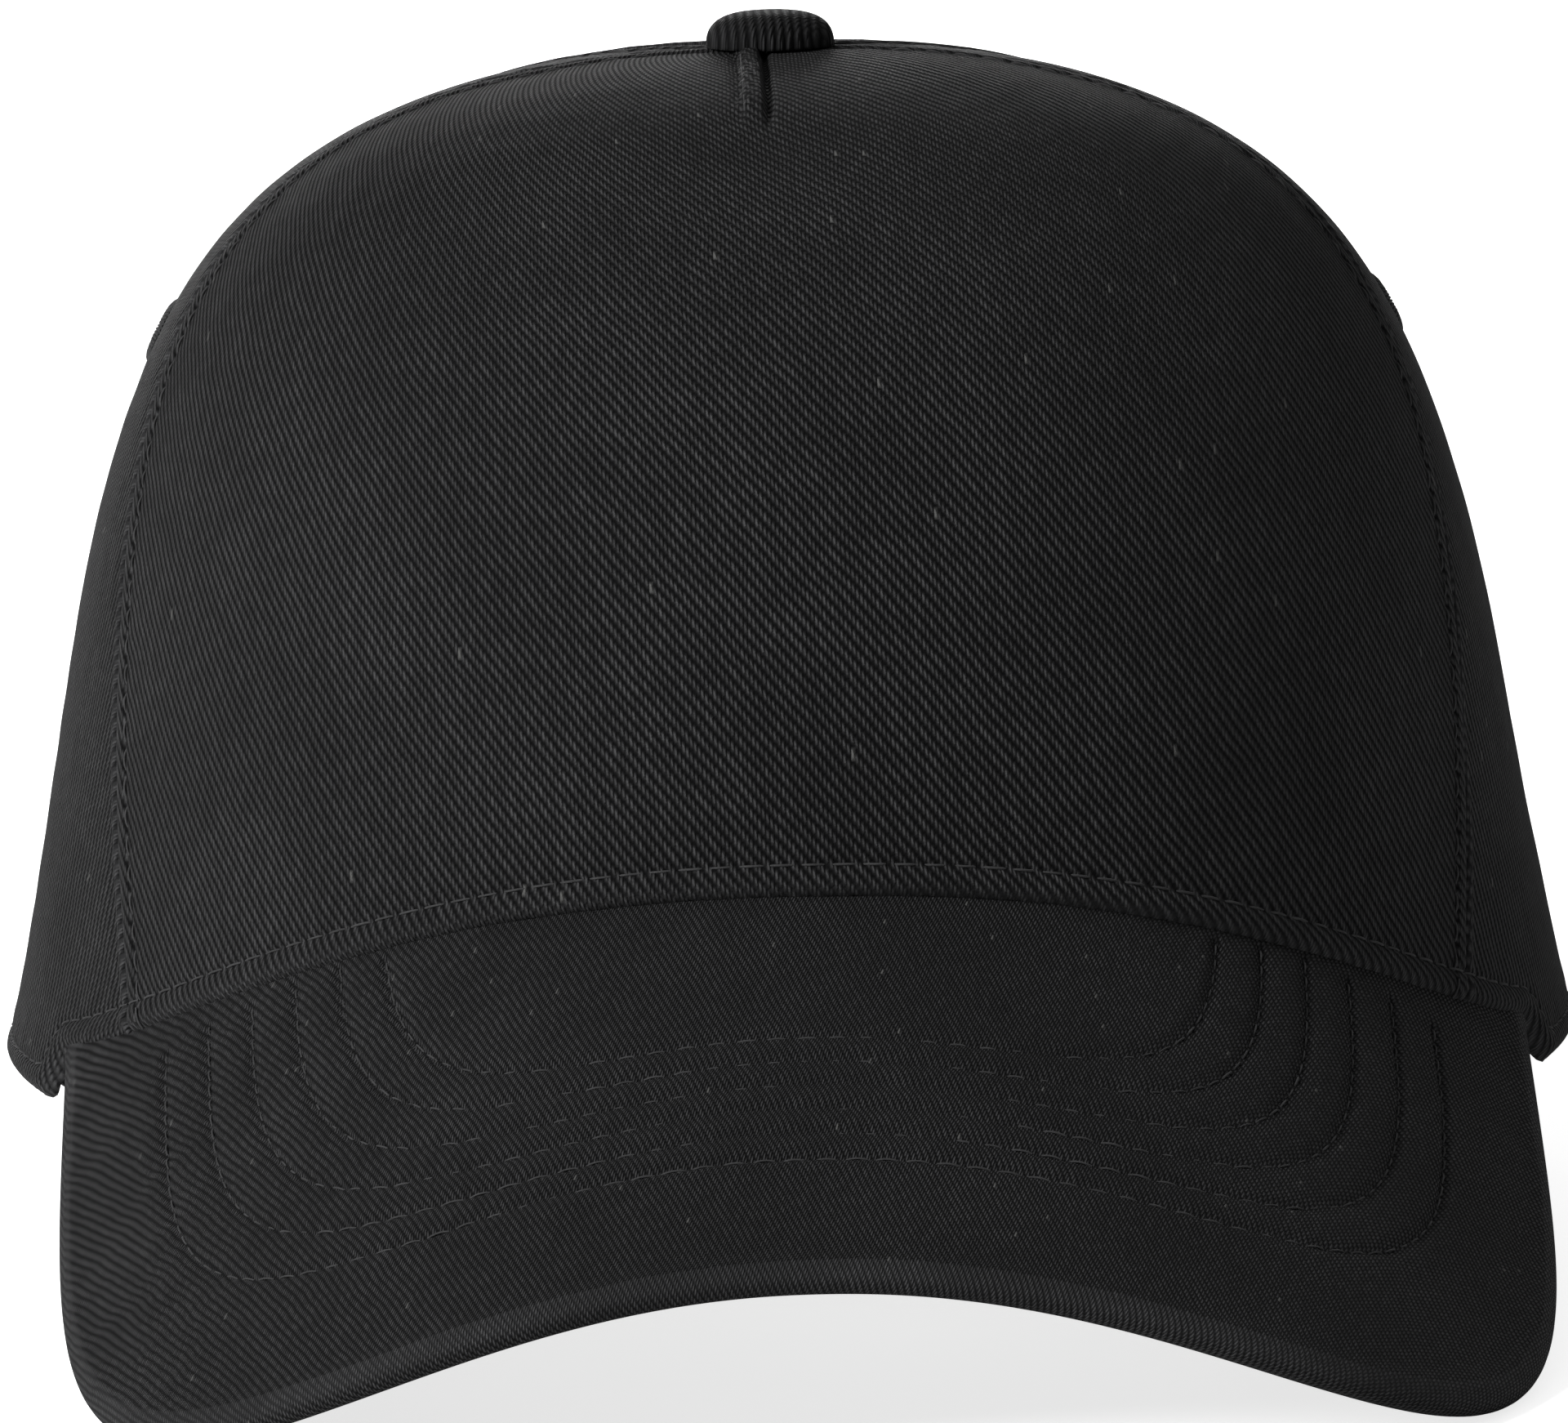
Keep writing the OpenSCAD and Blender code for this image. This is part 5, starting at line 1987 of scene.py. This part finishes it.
@dataclass
class Visor:
    """The visor: a board between two covers, with six rows of stitches."""

    tailor: Tailor
    cols: int = 330
    rows: int = 120
    row_front: float = -146.7 * MM
    row_half: float = 73.5 * MM
    row_step: float = 4.2 * MM
    row_step_side: float = 5.1 * MM
    row_count: int = 6
    row_power: float = 3.9
    row_middle: float = -60 * MM
    stitch_pitch: float = 3.4 * MM

    def __post_init__(self) -> None:
        """Lays out the rays from the join to the outline."""
        u = np.linspace(-VISOR.tip_a, VISOR.tip_a - 180, 400)
        start = RIM.point(u, VISOR.inner_d, np.zeros_like(u))[:, :2] - np.array([0, VISOR.tip_y])
        angle = np.unwrap(np.arctan2(-start[:, 1], start[:, 0]))
        self.angle = np.linspace(angle[0] + 0.004, angle[-1] - 0.004, self.cols)
        self.start_r = np.interp(self.angle, angle, np.hypot(start[:, 0], start[:, 1]))
        self.ray = np.stack([np.cos(self.angle), -np.sin(self.angle)], axis=-1)
        power = VISOR.square
        self.end_r = (
            np.abs(self.ray[:, 0] / VISOR.tip_x) ** power + np.abs(self.ray[:, 1] / VISOR.long) ** power
        ) ** (-1 / power)

    def plan(self, inset: Array) -> tuple[Array, Array]:
        """Returns the plan of points a distance inside the outline along the rays."""
        r = self.end_r[:, None] - inset
        return self.ray[:, :1] * r, self.ray[:, 1:] * r + VISOR.tip_y

    def row_lines(self) -> list[Array]:
        """Lays out the rows of stitches in plan.

        Returns:
            Points of each row, as far as it shows in front of the crown.
        """
        lines = []
        for k in range(self.row_count):
            half = self.row_half - k * self.row_step_side
            reach = self.row_middle - (self.row_front + k * self.row_step)
            a = np.linspace(0, np.pi, 260)
            x = half * np.sign(np.cos(a)) * np.abs(np.cos(a)) ** (2 / self.row_power)
            y = self.row_middle - reach * np.abs(np.sin(a)) ** (2 / self.row_power)
            tail = np.linspace(self.row_middle + 60 * MM, self.row_middle, 60, endpoint=False)
            x = np.concatenate([np.full(60, half), x, np.full(60, -half)])
            y = np.concatenate([tail, y, tail[::-1]])
            r = np.hypot(x, y - VISOR.tip_y)
            angle = np.arctan2(VISOR.tip_y - y, x)
            limit = np.interp(angle, self.angle, self.start_r) + 2.2 * MM
            ok = (r > limit) & (y < VISOR.tip_y)
            lines.append(np.stack([x, y], axis=-1)[ok])
        return lines

    def relief(self, x: Array, y: Array, lines: Sequence[Array]) -> Array:
        """Works out how far a cover stands out between its rows of stitches.

        Args:
            x: Plan of the grid.
            y: Plan of the grid.
            lines: Rows of stitches in plan.

        Returns:
            Distances out of the plain face.
        """
        h = 0.1 * MM * waves(x, y, 5, 26 * MM) + 0.05 * MM * waves(x, y, 6, 7 * MM)
        flat = np.stack([x, y, np.zeros_like(x)], axis=-1)
        for line in lines:
            dist, run = near_line(flat, np.concatenate([line, np.zeros((len(line), 1))], axis=1))
            pucker = 0.5 + 0.5 * np.sin(run * 2 * np.pi / self.stitch_pitch)
            h = h - (0.42 + 0.08 * pucker) * MM * bump_at(dist, 0.0, 0.42 * MM)
            h = h + 0.09 * MM * bump_at(dist, 2.0 * MM, 1.0 * MM)
        return h

    def top(self) -> None:
        """Builds the upper cover, rolled over the board's edge."""
        long = self.end_r - self.start_r
        roll = np.minimum(VISOR.thick / 2, 0.45 * long)[:, None]
        w = dense_ends(self.rows, 0.55)[None, :]
        theta = np.radians(np.linspace(0, 170, 15))[None, 1:]
        inset = np.concatenate([(long[:, None] - roll) * (1 - w) + roll, roll * (1 - np.sin(theta))], axis=1)
        depth = np.concatenate([np.zeros_like(w) * roll, roll * (1 - np.cos(theta))], axis=1)
        x, y = self.plan(inset)
        lines = self.row_lines()
        puff = self.relief(x, y, lines) * np.concatenate([np.ones((1, self.rows)), 0 * theta], axis=1)
        join = long[:, None] - inset
        puff = puff + 0.25 * MM * bump_at(inset, 2.6 * MM, 1.2 * MM) * (depth == 0)
        puff = puff - 0.5 * MM * (1 - ease(0.0, 1.4 * MM, join)) * (depth == 0)
        outer = VISOR.point(x, y, depth - puff)
        thin = roll - np.minimum(VISOR.cover_t, 0.4 * roll)
        inner_inset = np.concatenate([inset[:, : self.rows], roll - thin * np.sin(theta)], axis=1)
        inner_depth = np.concatenate([(roll - thin) * np.ones_like(w), roll - thin * np.cos(theta)], axis=1)
        inner = VISOR.point(*self.plan(inner_inset), inner_depth)
        arc = lengths(outer, 1) / MM
        flat_x, flat_y = x[:, : self.rows], y[:, : self.rows]
        over = (arc[:, self.rows :] - arc[:, self.rows - 1 : self.rows]) * MM
        uv_x = np.concatenate([flat_x, flat_x[:, -1:] + self.ray[:, :1] * over], axis=1)
        uv_y = np.concatenate([flat_y, flat_y[:, -1:] + self.ray[:, 1:] * over], axis=1)
        uv = np.stack([uv_x, uv_y], axis=-1) / MM
        worn = 0.35 * bump_at(depth, 0.2 * MM, 0.8 * MM) * (inset < 2.5 * MM)
        made = slab("visor_top_cover", outer, inner, uv, worn)
        self.tailor.put(made, "cap", "twill", "visor twill", "visor_top_cover")
        runs = []
        for line in lines:
            height = VISOR.point(line[:, 0], line[:, 1])
            runs.append(
                StitchRun.on_line(height, VISOR.upward(line[:, 0], line[:, 1]), self.stitch_pitch, -0.33 * MM)
            )
        self.tailor.stitch("visor_stitches", "cap", runs, 2.5 * MM, 0.24 * MM, 0.1 * MM, 0.14 * MM, seed=12)

    def under(self) -> None:
        """Builds the cover on the underside."""
        long = self.end_r - self.start_r
        edge = np.minimum(VISOR.thick / 2 + 0.6 * MM, 0.5 * long)[:, None]
        w = np.linspace(0, 1, 90)[None, :]
        inset = (long[:, None] - edge) * (1 - w) + edge
        x, y = self.plan(inset)
        lines = self.row_lines()
        puff = self.relief(x, y, lines) - 0.5 * MM * (1 - ease(0.0, 1.0 * MM, inset - edge))
        lower = VISOR.point(x, y, VISOR.thick + puff)
        upper = VISOR.point(x, y, np.full(x.shape, VISOR.thick - VISOR.cover_t))
        made = slab("visor_under_cover", lower[::-1], upper[::-1], (np.stack([x, y], axis=-1) / MM)[::-1])
        self.tailor.put(made, "cap", "twill", "under visor twill", "visor_under_cover")
        runs = []
        for line in lines:
            place = VISOR.point(line[:, 0], line[:, 1], np.full(len(line), VISOR.thick - 0.22 * MM))
            runs.append(StitchRun.on_line(place, -VISOR.upward(line[:, 0], line[:, 1]), self.stitch_pitch))
        sizes = (2.5 * MM, 0.32 * MM, 0.14 * MM, 0.14 * MM)
        self.tailor.stitch("under_visor_stitches", "cap", runs, *sizes, seed=13)

    def build(self) -> None:
        """Builds the visor."""
        self.top()
        self.under()
        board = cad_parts["visor_board"]
        self.tailor.wardrobe.dress(board, "visor board")


@dataclass
class Closure:
    """The strap with its clasp. The strap lies on a cone about Z."""

    tailor: Tailor
    lean: float = 10.8062
    mid_r: float = 88.2053 * MM
    mid_z: float = 15 * MM
    width: float = 20 * MM
    thick: float = 1.0 * MM
    half_a: float = 42.0
    clasp_a: float = 15.0
    bar: tuple[float, float] = (8.8 * MM, 2.2 * MM)
    pin_r: float = 0.8 * MM
    loop_t: float = 0.55 * MM
    slide: float = 0.35 * MM

    def on_cone(self, a: Array, w: Array, out: Array) -> Array:
        """Returns points of the strap's cone.

        Args:
            a: Azimuths.
            w: Distances up across the strap.
            out: Distances out of the strap's middle.

        Returns:
            Points.
        """
        a, w, out = np.broadcast_arrays(a, w, out)
        tilt = math.radians(self.lean)
        r = self.mid_r + out * math.cos(tilt) - w * math.sin(tilt)
        z = self.mid_z + out * math.sin(tilt) + w * math.cos(tilt)
        return np.stack([r * np.cos(np.radians(a)), r * np.sin(np.radians(a)), z], axis=-1)

    def cone_out(self, a: Array) -> Array:
        """Finds the directions out of the cone.

        Args:
            a: Azimuths.

        Returns:
            Directions of length 1.
        """
        tilt = math.radians(self.lean)
        rad = np.radians(a)
        return np.stack(
            [math.cos(tilt) * np.cos(rad), math.cos(tilt) * np.sin(rad), np.full_like(rad, math.sin(tilt))],
            axis=-1,
        )

    def flat_band(
        self, name: str, a0: float, a1: float, out: float, thick: float, width: float
    ) -> bpy.types.Object:
        """Makes a band with soft edges.

        Args:
            name: Name of the piece.
            a0: First azimuth.
            a1: Last azimuth.
            out: How far its middle lies out of the strap's.
            thick: Its thickness.
            width: Its width.

        Returns:
            The mesh object.
        """
        a = np.linspace(a0, a1, max(30, int((a1 - a0) * 2)))
        s = np.sin(np.linspace(-np.pi / 2, np.pi / 2, 26))
        body = (1 - np.abs(s) ** 14) ** 0.5
        sewn = 1 - 0.3 * bump_at(np.abs(s), 0.78, 0.05)
        half = 0.5 * thick * body * sewn
        near = self.on_cone(a[:, None], s[None, :] * width / 2, out + half[None, :])
        far = self.on_cone(a[:, None], s[None, :] * width / 2, out - half[None, :])
        return slab(name, near, far)

    def build(self) -> None:
        """Builds the strap and its loop, and dresses the clasp."""
        strap = self.flat_band(
            "closure_strap", 90 - self.half_a, 90 + self.half_a, 0.0, self.thick, self.width
        )
        self.tailor.put(strap, "strap", "twill", "strap twill", "closure_strap")
        a = np.linspace(90 - self.half_a + 0.6, 90 + self.half_a - 0.6, 160)
        runs = []
        for sign in (1, -1):
            for edge in (1, -1):
                line = self.on_cone(a, edge * 0.39 * self.width, sign * 0.36 * self.thick)
                runs.append(StitchRun.on_line(line, sign * self.cone_out(a), 3.2 * MM))
        self.tailor.stitch("strap_stitches", "strap", runs, 2.3 * MM, 0.32 * MM, 0.1 * MM, 0.1 * MM, seed=15)
        out = self.thick / 2 + self.slide + self.loop_t / 2
        end = 90 - self.clasp_a - math.degrees(math.atan(self.bar[0] / self.mid_r))
        tongue = self.flat_band(
            "loop_tongue", 90 - RIM.open_half_a - 8, end, out, self.loop_t, self.width - 1 * MM
        )
        middle = Matrix.Translation((0, self.mid_r, self.mid_z)) @ Matrix.Rotation(
            math.radians(self.lean), 4, "X"
        )
        seat = Matrix.Rotation(math.radians(-self.clasp_a), 4, "Z") @ middle
        turn = np.linspace(0, 2 * np.pi, 33)
        wide = self.width / 2 - 0.5 * MM
        z = np.linspace(-wide, wide, 9)
        rings = []
        for r in (self.pin_r + 0.1 * MM + self.loop_t, self.pin_r + 0.1 * MM):
            x, y = self.bar[0] + r * np.cos(turn), self.bar[1] + r * np.sin(turn)
            rings.append(np.stack(np.broadcast_arrays(x[:, None], y[:, None], z[None, :]), axis=-1))
        ring = slab("loop_ring", rings[0], rings[1])
        ring.data.transform(seat)
        made = join_pieces("clasp_loop", [tongue, ring])
        self.tailor.put(made, "cap", "twill", "strap twill", "clasp_loop")
        for node in ("clasp_frame", "clasp_pin", "clasp_lever"):
            self.tailor.wardrobe.dress(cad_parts[node], "clasp metal")


@dataclass(frozen=True)
class Studio:
    """The floor, the soft lights and the camera."""

    azimuth: float = -0.91
    elevation: float = 7.0
    roll: float = -1.2
    distance: float = 1.7
    target: tuple[float, float, float] = (0.0, 0.0, 61.67 * MM)
    drop: float = 21.94 * MM
    aside: float = 0.46 * MM
    lens: float = 325.1
    key: float = 54.0
    back: float = 27.0
    fill: float = 0.24
    glow: float = 0.75

    def camera(self) -> None:
        """Sets the camera."""
        az, el, roll = (math.radians(k) for k in (self.azimuth, self.elevation, self.roll))
        back = Vector((math.sin(az) * math.cos(el), -math.cos(az) * math.cos(el), math.sin(el)))
        right = Vector((math.cos(az), math.sin(az), 0.0))
        up = back.cross(right)
        side = math.cos(roll) * right + math.sin(roll) * up
        top = -math.sin(roll) * right + math.cos(roll) * up
        place = Vector(self.target) + self.distance * back
        look = Vector(self.target) - self.drop * top + self.aside * side
        aim = (place - look).normalized()
        side = (side - side.dot(aim) * aim).normalized()
        lens = bpy.data.cameras.new("camera")
        lens.lens = self.lens
        lens.sensor_width = 36.0
        lens.clip_end = 50.0
        made = bpy.data.objects.new("camera", lens)
        made.matrix_world = Matrix([[*side], [*aim.cross(side)], [*aim]]).transposed().to_4x4()
        made.location = place
        bpy.context.scene.collection.objects.link(made)
        bpy.context.scene.camera = made

    def floor(self, low: float) -> None:
        """Lays a plain pale floor.

        Args:
            low: Its height.
        """
        size = 12.0
        mesh = bpy.data.meshes.new("floor")
        mesh.from_pydata(
            [(-size, -size, low), (size, -size, low), (size, size, low), (-size, size, low)],
            [],
            [(0, 1, 2, 3)],
        )
        made = bpy.data.objects.new("floor", mesh)
        bpy.context.scene.collection.objects.link(made)
        finish, n, shader = start_material("pale floor")
        shader.inputs["Base Color"].default_value = (0.93, 0.93, 0.93, 1.0)
        shader.inputs["Roughness"].default_value = 1.0
        shader.inputs["Specular IOR Level"].default_value = 0.0
        shader.inputs["Emission Color"].default_value = (1.0, 1.0, 1.0, 1.0)
        n.feed(
            shader.inputs["Emission Strength"],
            n.math("MULTIPLY", n.add("ShaderNodeLightPath").outputs["Is Camera Ray"], self.glow),
        )
        mesh.materials.append(finish)
        made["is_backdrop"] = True

    def lamp(self, name: str, place: tuple[float, float, float], size: float, power: float) -> None:
        """Hangs a soft lamp that points at the cap.

        Args:
            name: Name of the lamp.
            place: Where it hangs.
            size: Its width.
            power: Its power in watts.
        """
        light = bpy.data.lights.new(name, "AREA")
        light.shape = "DISK"
        light.size = size
        light.energy = power
        made = bpy.data.objects.new(name, light)
        made.location = place
        made.rotation_euler = (Vector(self.target) - Vector(place)).to_track_quat("-Z", "Y").to_euler()
        bpy.context.scene.collection.objects.link(made)
        made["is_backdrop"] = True

    def build(self, low: float) -> None:
        """Builds the studio.

        Args:
            low: Lowest height of the object.
        """
        self.camera()
        self.floor(low)
        world = bpy.data.worlds.new("studio")
        world.use_nodes = True
        n = Nodes(world.node_tree)
        sky = world.node_tree.nodes["Background"]
        sky.inputs["Color"].default_value = (1.0, 1.0, 1.0, 1.0)
        n.feed(
            sky.inputs["Strength"],
            n.ramp(n.add("ShaderNodeLightPath").outputs["Is Camera Ray"], 0.0, 1.0, self.fill, 1.0),
        )
        bpy.context.scene.world = world
        self.lamp("key", (-1.42, -1.12, 0.96), 0.9, self.key)
        self.lamp("back_fill", (-0.15, 2.3, 0.35), 1.2, self.back)
        bpy.context.scene.view_settings.view_transform = "Standard"
        bpy.context.scene.view_settings.look = "None"


def main() -> None:
    """Builds the cap and its studio."""
    logging.basicConfig(level=logging.INFO, format="%(name)s: %(message)s")
    low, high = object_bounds()
    wardrobe = Wardrobe()
    wardrobe.sew_all()
    tailor = Tailor(wardrobe, Seamstress(wardrobe))
    for part in (Crown(tailor), Lining(tailor), Visor(tailor), Closure(tailor)):
        part.build()
        LOG.info("%s is built", type(part).__name__)
    Studio().build(low.z)
    LOG.info("%d pieces", tailor.count)


if __name__ == "__main__":
    main()
